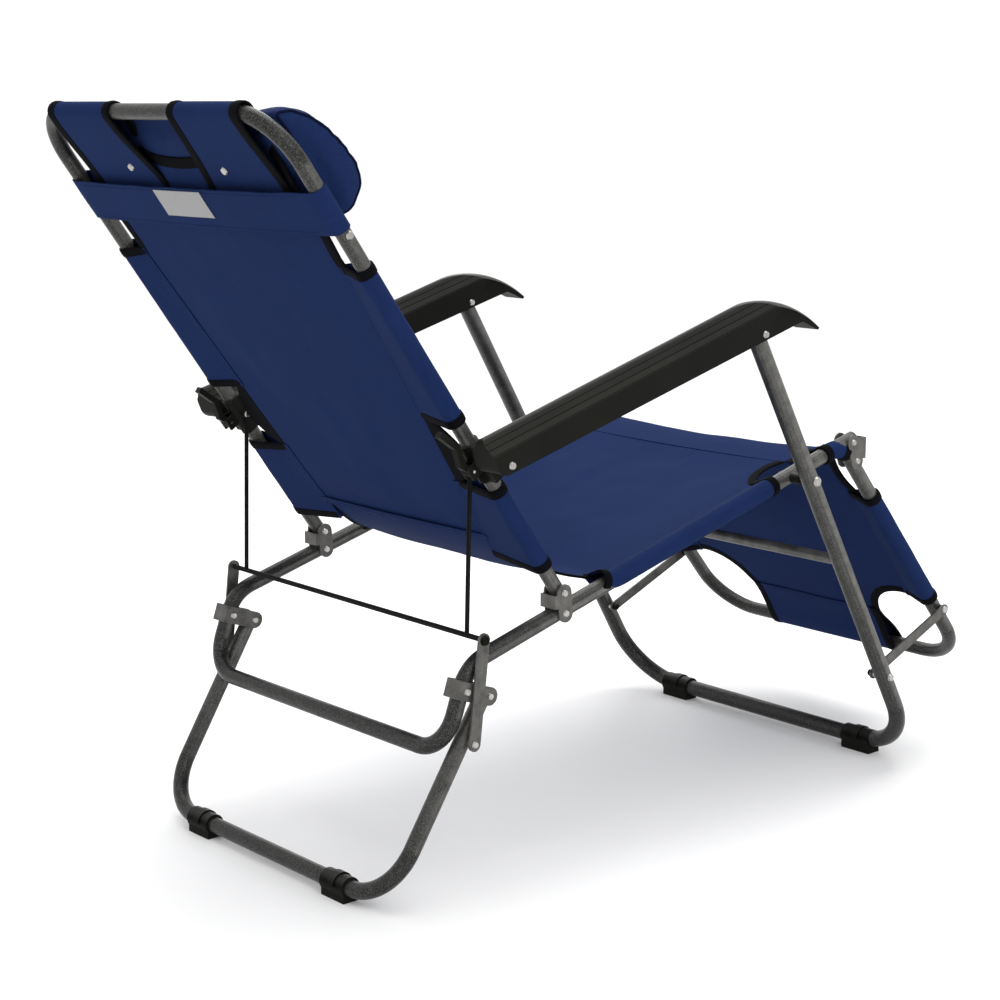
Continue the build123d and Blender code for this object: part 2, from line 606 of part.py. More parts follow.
for name, side in SIDES.items():
    with BuildPart() as recline_clamp:
        with BuildSketch(cross_plane(side * FRAME_HALF, CLAMP, BACK_ANGLE)):
            Circle(CLAMP_RADIUS)
            with Locations((side * (CLAMP_OUTER - FRAME_HALF) / 2, 0)):
                Rectangle(CLAMP_OUTER - FRAME_HALF, CLAMP_WEB)
        extrude(amount=CLAMP_LENGTH / 2, both=True)
        with BuildSketch(cross_plane(side * LEVER_CENTRE, CLAMP, BACK_ANGLE)):
            Rectangle(EAR_OUT - EAR_IN, EAR_REACH, align=(Align.CENTER, Align.MIN))
        extrude(amount=EAR_LENGTH / 2, both=True)
        with BuildSketch(cross_plane(side * LEVER_CENTRE, CLAMP, BACK_ANGLE)):
            with Locations((0, CLAMP_RADIUS)):
                Rectangle(LEVER_WIDTH + 2 * EAR_GAP, EAR_REACH, align=(Align.CENTER, Align.MIN))
            with Locations((side * ((SLOT_FROM + SLOT_TO) / 2 - LEVER_CENTRE), 0)):
                Rectangle(SLOT_TO - SLOT_FROM, CLAMP_WEB)
        extrude(amount=SLOT_LENGTH / 2, both=True, mode=Mode.SUBTRACT)
        with BuildSketch(cross_plane(side * CLAMP_INNER, CLAMP, BACK_ANGLE)):
            with Locations((-side * CLAMP_RADIUS, 0)):
                Rectangle(2 * CLAMP_RADIUS, 4 * CLAMP_RADIUS)
        extrude(amount=CLAMP_LENGTH, both=True, mode=Mode.SUBTRACT)
        bent_bar(u_path(BACK_SIDE), (BACK_BEND, BACK_BEND), BACK_TUBE, mode=Mode.SUBTRACT)
        pin(LEVER_PIVOT, side * EAR_IN, side * EAR_OUT, LEVER_PIN, mode=Mode.SUBTRACT)
    save(recline_clamp, f"recline_clamp_{name}")

    with BuildPart() as latch_lever:
        with BuildSketch(side_plane(side * LEVER_CENTRE, LEVER_PIVOT, BACK_ANGLE)):
            Circle(LEVER_HUB / 2)
            with BuildLine() as spine:
                Polyline(*LEVER_SPINE)
            trace(spine.line, line_width=LEVER_THICK)
        extrude(amount=LEVER_WIDTH / 2, both=True)
        pin(LEVER_PIVOT, side * EAR_IN, side * EAR_OUT, LEVER_PIN + 2 * RUN_FIT, mode=Mode.SUBTRACT)
    save(latch_lever, f"latch_lever_{name}")

with BuildPart() as clamp_pins:
    head_face = WIRE_HALF - WIRE_EYE_THICK / 2 - EAR_GAP
    for side in SIDES.values():
        pin(LEVER_PIVOT, side * EAR_IN, side * EAR_OUT, LEVER_PIN)
        pin(CLAMP, side * CLAMP_INNER, side * head_face, WIRE_PIN)
        cap(CLAMP, side * head_face, -side, RIVET_HEAD, HEAD_HEIGHT, RIVET_TAPER)
save(clamp_pins, "clamp_pins")


# ---------------------------------------------------------------- support wires and link plates
ROD_CLEAR = 0.6             # air between the cross rod's ends and the link plates
ROD_HALF = LINK_FROM - ROD_CLEAR
LINK_MIDDLE = (LINK_FROM + LINK_TO) / 2
LINK_LEAN = bearing(LINK_BOTTOM, LINK_TOP)
LINK_CAP = 14.0
LINK_CAP_HEIGHT = 3.5

with BuildPart() as cross_rod:
    pin(LINK_TOP, -ROD_HALF, ROD_HALF, CROSS_ROD)
save(cross_rod, "cross_rod")

for name, side in SIDES.items():
    with BuildPart() as support_wire:
        dy, dz = heading(bearing(LINK_TOP, CLAMP))
        with BuildSketch(Plane(origin=(side * WIRE_HALF, *LINK_TOP), z_dir=(0, dy, dz))):
            Circle(WIRE / 2)
        extrude(amount=apart(LINK_TOP, CLAMP) - WIRE_PIN)
        eye_in, eye_out = WIRE_HALF - WIRE_EYE_THICK / 2, WIRE_HALF + WIRE_EYE_THICK / 2
        pin(CLAMP, side * eye_in, side * eye_out, WIRE_EYE)
        pin(CLAMP, side * NEAR_IN, side * (WIRE_HALF - WIRE), WIRE_PIN + 2 * RUN_FIT, mode=Mode.SUBTRACT)
        pin(LINK_TOP, -ROD_HALF, ROD_HALF, CROSS_ROD, mode=Mode.SUBTRACT)
    save(support_wire, f"support_wire_{name}")

    with BuildPart() as link_plate:
        with BuildSketch(side_plane(side * LINK_MIDDLE, LINK_BOTTOM, LINK_LEAN)):
            strap_outline(apart(LINK_BOTTOM, LINK_TOP), LINK_WIDTH)
        extrude(amount=FLAT_BAR / 2, both=True)
        pin(LINK_BOTTOM, side * LINK_FROM, side * LINK_TO, RIVET + 2 * RUN_FIT, mode=Mode.SUBTRACT)
        pin(LINK_TOP, side * LINK_FROM, side * LINK_TO, WIRE, mode=Mode.SUBTRACT)
    save(link_plate, f"link_plate_{name}")

    with BuildPart() as link_cap:
        pin(LINK_TOP, side * LINK_FROM, side * LINK_TO, WIRE)
        cap(LINK_TOP, side * LINK_TO, side, LINK_CAP, LINK_CAP_HEIGHT, BOLT_TAPER)
    save(link_cap, f"link_cap_{name}")


# ---------------------------------------------------------------- slings, strap and pillow
CLOTH = 2.4
CLOTH_HALF = 234.0
SEAT_CLOTH = (-347.0, 147.0)
BACK_CLOTH = (43.0, 688.0)
BACK_CLOTH_FORWARD = 2.0
TAB_TOP = 738.0
TAB_SPAN = (68.0, 212.0)
FOOTREST_CLOTH = (38.0, 388.0)
TONGUE_END = 449.0
TONGUE_HALF = 130.0
STRAP = (588.0, 650.0)
STRAP_HALF = 268.0
STRAP_BEHIND = 13.4
STRAP_THICK = 2.0
SNAP = 11.0
SNAP_ALONG = 672.0
SNAP_HALF = 105.0
SNAP_NECK = 5.0
SNAP_STEM = 6.4             # through both layers of a turned-down tab
STUD_ALONG = 582.0
STUD_FACE = 273.6
PILLOW = (606.0, 736.0)
PILLOW_DEPTH = (12.0, 82.0)
PILLOW_HALF = 232.0
PILLOW_ROUND = 24.0


def cloth(origin, angle, run, lift, half, thickness=CLOTH):
    """Flat panel along a heading, spanning the centre plane, lifted square to the heading."""
    with BuildSketch(side_plane(0, origin, angle)) as edge:
        with Locations(((run[0] + run[1]) / 2, lift)):
            Rectangle(run[1] - run[0], thickness)
    extrude(edge.sketch, amount=half, both=True)


with BuildPart() as seat_sling:
    stretch = 1 / cos(radians(SEAT_RAKE))
    cloth(rail(0), -SEAT_RAKE, [end * stretch for end in SEAT_CLOTH], 0, CLOTH_HALF)
save(seat_sling, "seat_sling")

with BuildPart() as backrest_sling:
    cloth(BACK_PIVOT, BACK_ANGLE, BACK_CLOTH, BACK_CLOTH_FORWARD, CLOTH_HALF)
    cloth(BACK_PIVOT, BACK_ANGLE, (BACK_CLOTH[1], TAB_TOP), BACK_CLOTH_FORWARD, TAB_SPAN[1])
    with BuildSketch(side_plane(0, BACK_PIVOT, BACK_ANGLE)):
        with Locations(((BACK_CLOTH[1] + TAB_TOP) / 2, BACK_CLOTH_FORWARD)):
            Rectangle(TAB_TOP - BACK_CLOTH[1], 2 * CLOTH)
    extrude(amount=TAB_SPAN[0], both=True, mode=Mode.SUBTRACT)
save(backrest_sling, "backrest_sling")

with BuildPart() as footrest_sling:
    cloth(KNEE_PIVOT, FOOTREST_ANGLE + 180, FOOTREST_CLOTH, 0, CLOTH_HALF)
    cloth(KNEE_PIVOT, FOOTREST_ANGLE + 180, (FOOTREST_CLOTH[1], TONGUE_END), 0, TONGUE_HALF)
save(footrest_sling, "footrest_sling")

with BuildPart() as pillow_strap:
    cloth(BACK_PIVOT, BACK_ANGLE, STRAP, -STRAP_BEHIND, STRAP_HALF, STRAP_THICK)
save(pillow_strap, "pillow_strap")

with BuildPart() as strap_snaps:
    behind = BACK_ANGLE - 90
    dy, dz = heading(behind)
    spot = step(BACK_PIVOT, BACK_ANGLE, SNAP_ALONG)
    stud = step(spot, behind, CLOTH / 2 - BACK_CLOTH_FORWARD)
    head = step(stud, behind, SNAP_STEM)
    for side in SIDES.values():
        neck_and_head = ((stud, SNAP_NECK, SNAP_STEM, 0), (head, SNAP, HEAD_HEIGHT, RIVET_TAPER))
        for base, diameter, height, taper in neck_and_head:
            with BuildSketch(Plane(origin=(side * SNAP_HALF, *base), z_dir=(0, dy, dz))) as disc:
                Circle(diameter / 2)
            extrude(disc.sketch, amount=height, taper=taper)
save(strap_snaps, "strap_snaps")

with BuildPart() as strap_studs:
    spot = step(BACK_PIVOT, BACK_ANGLE, STUD_ALONG)
    for side in SIDES.values():
        pin(spot, side * FRAME_HALF, side * STUD_FACE, RIVET)
        cap(spot, side * STUD_FACE, side, SNAP, HEAD_HEIGHT, RIVET_TAPER)
    bent_bar(u_path(BACK_SIDE), (BACK_BEND, BACK_BEND), BACK_TUBE, mode=Mode.SUBTRACT)
save(strap_studs, "strap_studs")

with BuildPart() as head_pillow:
    with BuildSketch(side_plane(0, BACK_PIVOT, BACK_ANGLE)):
        with Locations(((PILLOW[0] + PILLOW[1]) / 2, (PILLOW_DEPTH[0] + PILLOW_DEPTH[1]) / 2)):
            RectangleRounded(PILLOW[1] - PILLOW[0], PILLOW_DEPTH[1] - PILLOW_DEPTH[0], PILLOW_ROUND)
    extrude(amount=PILLOW_HALF, both=True)
save(head_pillow, "head_pillow")
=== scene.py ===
"""Looks for a folding sling beach chair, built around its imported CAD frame.

Working numbers are millimetres in the frame's axes; meshes are made in metres.
+Z is up and the sitter faces -Y. A cloth's plane is addressed by X, a distance along it and a lift off it.
"""

import json
import math

import bpy
import numpy as np
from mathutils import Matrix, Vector, noise


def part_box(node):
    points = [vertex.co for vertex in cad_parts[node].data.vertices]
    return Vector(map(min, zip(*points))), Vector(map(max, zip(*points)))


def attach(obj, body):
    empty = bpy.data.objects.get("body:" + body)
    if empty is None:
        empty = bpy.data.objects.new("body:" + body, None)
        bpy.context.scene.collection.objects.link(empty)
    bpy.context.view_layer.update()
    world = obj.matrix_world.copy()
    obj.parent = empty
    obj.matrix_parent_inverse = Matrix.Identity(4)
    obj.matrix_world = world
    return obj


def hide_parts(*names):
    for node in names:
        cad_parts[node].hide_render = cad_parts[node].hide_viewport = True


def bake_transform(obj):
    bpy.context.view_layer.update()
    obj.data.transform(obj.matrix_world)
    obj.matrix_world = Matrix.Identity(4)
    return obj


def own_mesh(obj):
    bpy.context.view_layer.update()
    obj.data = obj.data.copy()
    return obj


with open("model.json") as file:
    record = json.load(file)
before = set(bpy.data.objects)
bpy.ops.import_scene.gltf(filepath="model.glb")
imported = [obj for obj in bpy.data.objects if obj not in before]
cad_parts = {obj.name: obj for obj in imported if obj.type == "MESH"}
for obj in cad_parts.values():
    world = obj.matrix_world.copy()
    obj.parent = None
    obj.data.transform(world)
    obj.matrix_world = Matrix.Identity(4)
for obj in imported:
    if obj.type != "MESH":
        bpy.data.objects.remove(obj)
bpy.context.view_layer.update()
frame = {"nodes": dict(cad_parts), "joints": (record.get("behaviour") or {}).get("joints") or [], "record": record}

MM = 0.001
SIDES = {"left": 1, "right": -1}


# ---------------------------------------------------------------- where the frame is
def joint_at(name):
    """Side-plane (y, z) of a joint, in millimetres."""
    at = next(j for j in frame["joints"] if j["name"] == name)["pos_m"]
    return np.array(at[1:]) / MM


def middle_of(node):
    """Side-plane (y, z) of a node's box centre, in millimetres."""
    low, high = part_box(node)
    return np.array([(low.y + high.y) / 2, (low.z + high.z) / 2]) / MM


BACK_PIVOT = joint_at("recline")
CLAMP = joint_at("wire_swing")
KNEE_PIVOT = joint_at("footrest_swing")
LEG_PIVOT = joint_at("fold")
BACK_WAY = (CLAMP - BACK_PIVOT) / np.linalg.norm(CLAMP - BACK_PIVOT)
FOOT_RUN = middle_of("brace_rivet_left") - KNEE_PIVOT
FOOT_WAY = FOOT_RUN / np.linalg.norm(FOOT_RUN)
SEAT_RUN = middle_of("seat_sling") - LEG_PIVOT
SEAT_WAY = -SEAT_RUN / np.linalg.norm(SEAT_RUN)        # towards the knees

TUBE_AT = 261.0             # side tubes, from the centre plane
BACK_TUBE = 10.0            # tube radii
SEAT_TUBE = 11.0
FOOT_TUBE = 11.0
TOP_BAR = 752.6             # backrest pivot up to its top bar
FOOT_BAR = 464.0            # knee pivot down to the footrest's bar

BACK_UP = np.array([-BACK_WAY[1], BACK_WAY[0]])
SEAT_UP = np.array([SEAT_WAY[1], -SEAT_WAY[0]])
FOOT_UP = np.array([FOOT_WAY[1], -FOOT_WAY[0]])


def rail_point(y):
    """Side-plane point on the seat rails' axis."""
    return LEG_PIVOT + SEAT_WAY * (y - LEG_PIVOT[0]) / SEAT_WAY[0]


def back_point(s):
    return BACK_PIVOT + BACK_WAY * s


def foot_point(s):
    return KNEE_PIVOT + FOOT_WAY * s


# ---------------------------------------------------------------- mesh helpers
def catmull(points, count):
    """Smooth open curve through the points, evenly numbered."""
    p = np.array(points, float)
    p = np.vstack([2 * p[0] - p[1], p, 2 * p[-1] - p[-2]])
    out = []
    for t in np.linspace(0, len(points) - 1 - 1e-9, count):
        i = int(t)
        f = t - i
        a, b, c, d = p[i], p[i + 1], p[i + 2], p[i + 3]
        out.append(0.5 * (2 * b + (c - a) * f + (2 * a - 5 * b + 4 * c - d) * f ** 2
                          + (3 * b - a - 3 * c + d) * f ** 3))
    return np.array(out)


def bezier(a, b, c, d, count):
    t = np.linspace(0, 1, count)[:, None]
    return (1 - t) ** 3 * a + 3 * (1 - t) ** 2 * t * b + 3 * (1 - t) * t ** 2 * c + t ** 3 * d


def ramp(value, low, high):
    """0 below low, 1 above high, smooth between."""
    t = min(max((value - low) / (high - low), 0.0), 1.0)
    return t * t * (3 - 2 * t)


def unit(v):
    return v / max(float(np.linalg.norm(v)), 1e-9)


class Cloth:
    """Side profile of a cloth, addressed by X, the distance along it and the lift off it.

    It sags between its side tubes but stays on them.
    """

    def __init__(self, points, up_first, sag):
        self.line = np.array(points, float)
        steps = np.linalg.norm(np.diff(self.line, axis=0), axis=1)
        self.along = np.concatenate([[0], np.cumsum(steps)])
        tangent = np.gradient(self.line, axis=0)
        normal = np.column_stack([-tangent[:, 1], tangent[:, 0]])
        if normal[0] @ up_first < 0:
            normal = -normal
        self.normal = normal / np.linalg.norm(normal, axis=1)[:, None]
        self.sag = sag

    def near(self, point):
        """Distance along the profile of the place nearest a side-plane point."""
        return float(self.along[np.argmin(np.linalg.norm(self.line - point, axis=1))])

    def clean(self, x, v, lift=0.0):
        """Point on the cloth pulled flat."""
        y, z = (np.interp(v, self.along, self.line[:, i]) for i in (0, 1))
        ny, nz = (np.interp(v, self.along, self.normal[:, i]) for i in (0, 1))
        return np.array([x, y + ny * lift, z + nz * lift])

    def __call__(self, x, v, lift=0.0):
        return self.clean(x, v, lift + self.sag(x, v))


class Mesh:
    """Vertices, faces and cloth coordinates gathered for one object."""

    def __init__(self):
        self.verts, self.faces, self.cloth = [], [], []

    def grid(self, rows, coords, ring=False, caps=False):
        """Quads between rows of equally many points; ring closes each row on itself."""
        base, n = len(self.verts), len(rows[0])
        for row, at in zip(rows, coords):
            self.verts.extend(row)
            self.cloth.extend(at)
        for i in range(len(rows) - 1):
            for j in range(n if ring else n - 1):
                k = (j + 1) % n
                a, b = base + i * n, base + (i + 1) * n
                self.faces.append((a + j, a + k, b + k, b + j))
        if caps:
            self.faces.append(tuple(base + j for j in range(n))[::-1])
            self.faces.append(tuple(base + (len(rows) - 1) * n + j for j in range(n)))

    def build(self, name, material, thick=0.0, weld=0.05, smooth=50.0):
        mesh = bpy.data.meshes.new(name)
        mesh.from_pydata([tuple(float(c) * MM for c in v) for v in self.verts], [], self.faces)
        uv = mesh.uv_layers.new(name="cloth")
        for loop in mesh.loops:
            x, v = self.cloth[loop.vertex_index]
            uv.data[loop.index].uv = (x * MM, v * MM)
        obj = bpy.data.objects.new(name, mesh)
        bpy.context.scene.collection.objects.link(obj)
        if weld:
            obj.modifiers.new("weld", "WELD").merge_threshold = weld * MM
        if thick:
            solid = obj.modifiers.new("thick", "SOLIDIFY")
            solid.thickness, solid.offset = thick * MM, 0.0
        apply_modifiers(obj)
        obj.data.set_sharp_from_angle(angle=math.radians(smooth))
        obj.data.materials.append(material)
        return obj


def apply_modifiers(obj):
    """Replace the object's mesh with what its modifiers make of it."""
    bpy.context.view_layer.update()
    made = bpy.data.meshes.new_from_object(obj.evaluated_get(bpy.context.evaluated_depsgraph_get()))
    obj.modifiers.clear()
    obj.data = made
    for face in made.polygons:
        face.use_smooth = True


def tape(mesh, cloth, path, side, width=12.0, thick=3.4, over=1.4, inner_x=None):
    """Bound edge: a folded tape along a path of (x, v), laid over the edge on the given side of its travel.

    With inner_x the tape runs straight across the cloth, in to that X at each distance.
    """
    rows, coords = [], []
    path = np.array(path, float)
    ways = np.gradient(path, axis=0)
    run = 0.0
    for i, (p, way) in enumerate(zip(path, ways)):
        inward = unit(np.array([-way[1], way[0]]) * side)
        if inner_x:
            inward, width = np.array([-float(side), 0.0]), abs(p[0]) - inner_x(p[1])
        edge = cloth(*p)
        across = unit(cloth(*(p + inward * width)) - edge)
        up = unit(cloth(*p, 1.0) - edge)
        if i:
            run += float(np.linalg.norm(p - path[i - 1]))
        half = thick / 2
        upper = [(-over * 0.6, half * 0.8), (over, half), (width * 0.5, half * 1.1), (width, half * 0.7)]
        section = [(-over, 0), *upper, *((a, -b) for a, b in reversed(upper))]
        rows.append([edge + across * a + up * b for a, b in section])
        coords.append([(a, run) for a, b in section])
    mesh.grid(rows, coords, ring=True, caps=True)


def stitches(mesh, place, path, pitch=6.5, length=4.4, wide=0.9, lift=0.8):
    """Row of thread stitches along a path of points that place() turns into a spot and its normal."""
    path = np.array(path, float)
    steps = np.concatenate([[0], np.cumsum(np.linalg.norm(np.diff(path, axis=0), axis=1))])
    for k in range(int(steps[-1] / pitch)):
        ends = [k * pitch + 0.5, k * pitch + 0.5 + length]
        spots = [place(*[np.interp(e, steps, path[:, c]) for c in range(path.shape[1])]) for e in ends]
        (a, up), (b, _) = spots
        way = unit(b - a)
        cross = np.cross(way, up)
        mid = (a + b) / 2
        base = len(mesh.verts)
        ring = [mid + cross * wide / 2, mid + up * lift, mid - cross * wide / 2, mid - up * 0.3]
        mesh.verts.extend([a, b, *ring])
        mesh.cloth.extend([(0, 0)] * 6)
        for j in range(4):
            m, n = base + 2 + j, base + 2 + (j + 1) % 4
            mesh.faces += [(base, m, n), (base + 1, n, m)]


def pocket(w, radius, lap=7.0, gap=1.3, arcs=16, lines=5):
    """(x, lift) points of a hem pocket, from its lap on the panel over the tube and back."""
    reach = TUBE_AT - w
    half = math.asin(radius / reach)
    top = math.pi / 2 + half
    touch = np.array([TUBE_AT + radius * math.cos(top), radius * math.sin(top)])
    start = np.array([w, gap])
    upper = [np.array([w - lap, gap])]
    upper += [start + (touch - start) * t for t in np.linspace(0, 1, lines, endpoint=False)]
    turn = [np.array([TUBE_AT + radius * math.cos(a), radius * math.sin(a)]) for a in np.linspace(top, -top, arcs)]
    lower = [p * np.array([1, -1]) for p in reversed(upper)]
    return upper + turn + lower


def hem(mesh, cloth, ends, stitch_at, radius, side, step=8.0, ruffle=0.7, gap=1.3):
    """Hem pocket round one side tube between two distances along the cloth."""
    count = max(int((ends[1] - ends[0]) / step), 2) + 1
    rows, coords = [], []
    for v in np.linspace(*ends, count):
        section = pocket(stitch_at(v), radius, gap=gap)
        row, at, run = [], [], 0.0
        for i, (x, lift) in enumerate(section):
            loose = ruffle * noise.noise(Vector((i * 0.35, v * 0.03, 7.0 * side + radius)))
            flat_lift = lift + math.copysign(loose, lift if lift else 1)
            point = cloth(x * side, v)
            clean = cloth.clean(x * side, v)
            up = unit(cloth(x * side, v, 1.0) - point)
            near = ramp(abs(x), stitch_at(v), stitch_at(v) + 10)
            base = point * (1 - near) + clean * near
            row.append(base + up * flat_lift)
            run += 0 if not i else float(np.hypot(*(np.array(section[i]) - section[i - 1])))
            at.append((run + stitch_at(v), v))
        rows.append(row)
        coords.append(at)
    mesh.grid(rows, coords)


def cuff(mesh, cloth, v, way, stitch_at, radius, side, width=11.0, thick=2.6):
    """Black tape round the open end of a hem pocket, from v for its width along the way."""
    rows, coords = [], []
    # distance in from the pocket's end, and how far the tape stands off the pocket there
    profile = [(-1.2, -0.9), (-1.6, 0.3), (-1.0, thick - 1.0), (0.5, thick - 0.6),
               (width * 0.5, thick - 0.4), (width - 0.4, thick - 0.8), (width, 0.2)]
    for k, (t, grow) in enumerate(profile):
        at = v + way * t
        section = pocket(stitch_at(at), radius + grow, lap=4.0, gap=1.3 + max(grow, 0))
        row = []
        for x, lift in section:
            clean = cloth.clean(x * side, at)
            up = unit(cloth.clean(x * side, at, 1.0) - clean)
            row.append(clean + up * lift)
        rows.append(row)
        coords.append([(i * 3.0, k * 3.0) for i in range(len(row))])
    mesh.grid(rows, coords)


def lay(mesh, cloth, widths, distances, lift=lambda v: 0.0):
    """Grid of cloth through the given X positions at each distance along it."""
    mesh.grid([[cloth(x, v, lift(v)) for x in row] for row, v in zip(widths, distances)],
              [[(x, v) for x in row] for row, v in zip(widths, distances)])


def beside(cloth, lift, side=1):
    """A place() for stitches that lie at a lift off the cloth, on one side of the chair."""
    def place(x, v):
        spot = cloth(x * side, v, lift)
        return spot, unit(cloth(x * side, v, lift + math.copysign(1.0, lift)) - spot)
    return place


def round_bar(point, up, at, radius):
    """Half turn of a cloth round a bar, from the sitter's face to behind it."""
    turns = [math.radians(angle) for angle in np.linspace(90, -90, 15)]
    return [point(at + radius * math.cos(a)) + up * radius * math.sin(a) for a in turns]


# ---------------------------------------------------------------- materials
def nodes_of(name):
    material = bpy.data.materials.new(name)
    material.use_nodes = True
    tree = material.node_tree
    return material, tree, tree.nodes["Principled BSDF"]


def add(tree, kind, inputs=(), **settings):
    node = tree.nodes.new(kind)
    for key, value in settings.items():
        setattr(node, key, value)
    for key, value in dict(inputs).items():
        if isinstance(value, bpy.types.NodeSocket):
            tree.links.new(value, node.inputs[key])
        else:
            node.inputs[key].default_value = value
    return node


def maths(tree, operation, a, b=0.5):
    return add(tree, "ShaderNodeMath", {0: a, 1: b}, operation=operation).outputs[0]


def spread(tree, value, gain, base):
    """value * gain + base, where base is a number or another socket."""
    return add(tree, "ShaderNodeMath", {0: value, 1: gain, 2: base}, operation="MULTIPLY_ADD").outputs[0]


def mix(tree, share, a, b):
    node = add(tree, "ShaderNodeMix", data_type="RGBA")
    for key, value in ((0, share), (6, a), (7, b)):
        if isinstance(value, bpy.types.NodeSocket):
            tree.links.new(value, node.inputs[key])
        else:
            node.inputs[key].default_value = value
    return node.outputs[2]


def stops(tree, value, points):
    node = add(tree, "ShaderNodeValToRGB", {0: value})
    ramp_of = node.color_ramp
    while len(ramp_of.elements) < len(points):
        ramp_of.elements.new(0.5)
    for element, (at, grey) in zip(ramp_of.elements, points):
        element.position, element.color = at, (grey, grey, grey, 1)
    return node.outputs[0]


def noise_of(tree, where, scale, detail=3.0, roughness=0.5):
    return add(tree, "ShaderNodeTexNoise", {"Vector": where, "Scale": scale, "Detail": detail,
                                            "Roughness": roughness}).outputs[0]


def woven(name, dark, light, pitch=1.3, rough=0.78, sheen=0.0, cloth_uv=True, rib=False):
    """Plain weave: threads over and under at the pitch in millimetres, faded and slubbed a little."""
    material, tree, shader = nodes_of(name)
    spot = add(tree, "ShaderNodeTexCoord")
    where = spot.outputs["UV"] if cloth_uv else spot.outputs["Object"]
    parts = add(tree, "ShaderNodeSeparateXYZ", {0: where})
    turn = 2 * math.pi / (pitch * MM)
    across = maths(tree, "SINE", maths(tree, "MULTIPLY", parts.outputs[0], turn))
    run = parts.outputs[1]
    if not cloth_uv:
        run = spread(tree, run, 0.7, maths(tree, "MULTIPLY", parts.outputs[2], 0.9))
    along = maths(tree, "SINE", maths(tree, "MULTIPLY", run, turn * (0.45 if rib else 1.0)))
    over = along if rib else maths(tree, "MULTIPLY", across, along)
    lift = spread(tree, over, 0.5, 0.5)
    stretch = add(tree, "ShaderNodeVectorMath", {0: where, 1: (1.0, 0.06, 1.0)}, operation="MULTIPLY").outputs[0]
    slub = noise_of(tree, stretch, 420.0, 2.0)
    fade = noise_of(tree, spot.outputs["Object"], 5.0, 4.0, 0.6)
    share = spread(tree, fade, 0.33, spread(tree, slub, 0.45, maths(tree, "MULTIPLY", lift, 0.22)))
    tree.links.new(mix(tree, share, (*dark, 1), (*light, 1)), shader.inputs["Base Color"])
    crumple = noise_of(tree, spot.outputs["Object"], 26.0, 3.0)
    height = spread(tree, lift, 0.3, maths(tree, "MULTIPLY", slub, 0.4))
    fine = add(tree, "ShaderNodeBump", {"Height": height, "Strength": 0.35, "Distance": 0.0004})
    bump = add(tree, "ShaderNodeBump", {"Height": crumple, "Strength": 0.35, "Distance": 0.002,
                                        "Normal": fine.outputs[0]})
    tree.links.new(bump.outputs[0], shader.inputs["Normal"])
    tree.links.new(spread(tree, slub, 0.12, rough - 0.06), shader.inputs["Roughness"])
    shader.inputs["Sheen Weight"].default_value = sheen
    shader.inputs["Sheen Roughness"].default_value = 0.45
    shader.inputs["Specular IOR Level"].default_value = 0.03
    return material


def hammered(name, base, fleck, gloss, size=1.0, rough=0.36, metal=0.45, scuff=0.5):
    """Hammertone powder coat: dimpled, with pale flecks, scuffed where edges rub."""
    material, tree, shader = nodes_of(name)
    spot = add(tree, "ShaderNodeTexCoord").outputs["Object"]
    cells = add(tree, "ShaderNodeTexVoronoi", {"Vector": spot, "Scale": 420.0 / size},
                feature="SMOOTH_F1").outputs[0]
    speck = noise_of(tree, spot, 700.0 / size, 2.0, 0.7)
    cloudy = noise_of(tree, spot, 60.0, 3.0)
    flecks = stops(tree, speck, [(0.5, 0.0), (0.6, 1.0)])
    share = spread(tree, flecks, 0.8, maths(tree, "MULTIPLY", cells, 0.3))
    paint = mix(tree, share, (*base, 1), (*fleck, 1))
    edge = add(tree, "ShaderNodeNewGeometry").outputs["Pointiness"]
    worn = maths(tree, "MULTIPLY", stops(tree, edge, [(0.53, 0.0), (0.62, scuff)]), cloudy)
    colour = mix(tree, worn, paint, (0.34, 0.33, 0.31, 1))
    tree.links.new(colour, shader.inputs["Base Color"])
    tree.links.new(spread(tree, cloudy, 0.22, rough - 0.1), shader.inputs["Roughness"])
    shader.inputs["Metallic"].default_value = metal
    shader.inputs["Specular IOR Level"].default_value = gloss
    shader.inputs["Coat Weight"].default_value = gloss * 0.25
    shader.inputs["Coat Roughness"].default_value = 0.3
    height = spread(tree, speck, 0.5, cells)
    bump = add(tree, "ShaderNodeBump", {"Height": height, "Strength": 0.5, "Distance": 0.0004})
    tree.links.new(bump.outputs[0], shader.inputs["Normal"])
    return material


def moulded(name, base, lit_top_and_rubbed, rough=0.42, grain=900.0):
    """Moulded plastic with a spark-eroded grain and rubbed edges; what faces up is painted paler and shinier, a
    painted light on the top.
    """
    material, tree, shader = nodes_of(name)
    place = add(tree, "ShaderNodeTexCoord")
    spot = place.outputs["Object"]
    upward = add(tree, "ShaderNodeSeparateXYZ", {"Vector": place.outputs["Normal"]}).outputs["Z"]
    # faces that point up are painted paler: painted top light standing in for the lamps overhead
    painted_top_light = stops(tree, upward, [(0.35, 0.0), (0.8, 1.0)])
    fine = noise_of(tree, spot, grain, 2.0, 0.6)
    broad = noise_of(tree, spot, 14.0, 3.0)
    edge = add(tree, "ShaderNodeNewGeometry").outputs["Pointiness"]
    rub = stops(tree, edge, [(0.52, 0.0), (0.6, 1.0)])
    # the paler colour mixes the painted top light with rubbed edges and random tone
    share = spread(tree, painted_top_light, 0.5, spread(tree, rub, 0.3, maths(tree, "MULTIPLY", broad, 0.2)))
    tree.links.new(mix(tree, share, (*base, 1), (*lit_top_and_rubbed, 1)), shader.inputs["Base Color"])
    tree.links.new(spread(tree, broad, 0.2, rough - 0.1), shader.inputs["Roughness"])
    # the up-facing mask also raises the specular level, a painted sheen on the top
    tree.links.new(spread(tree, painted_top_light, 0.1, 0.02), shader.inputs["Specular IOR Level"])
    bump = add(tree, "ShaderNodeBump", {"Height": fine, "Strength": 0.3, "Distance": 0.0002})
    tree.links.new(bump.outputs[0], shader.inputs["Normal"])
    return material


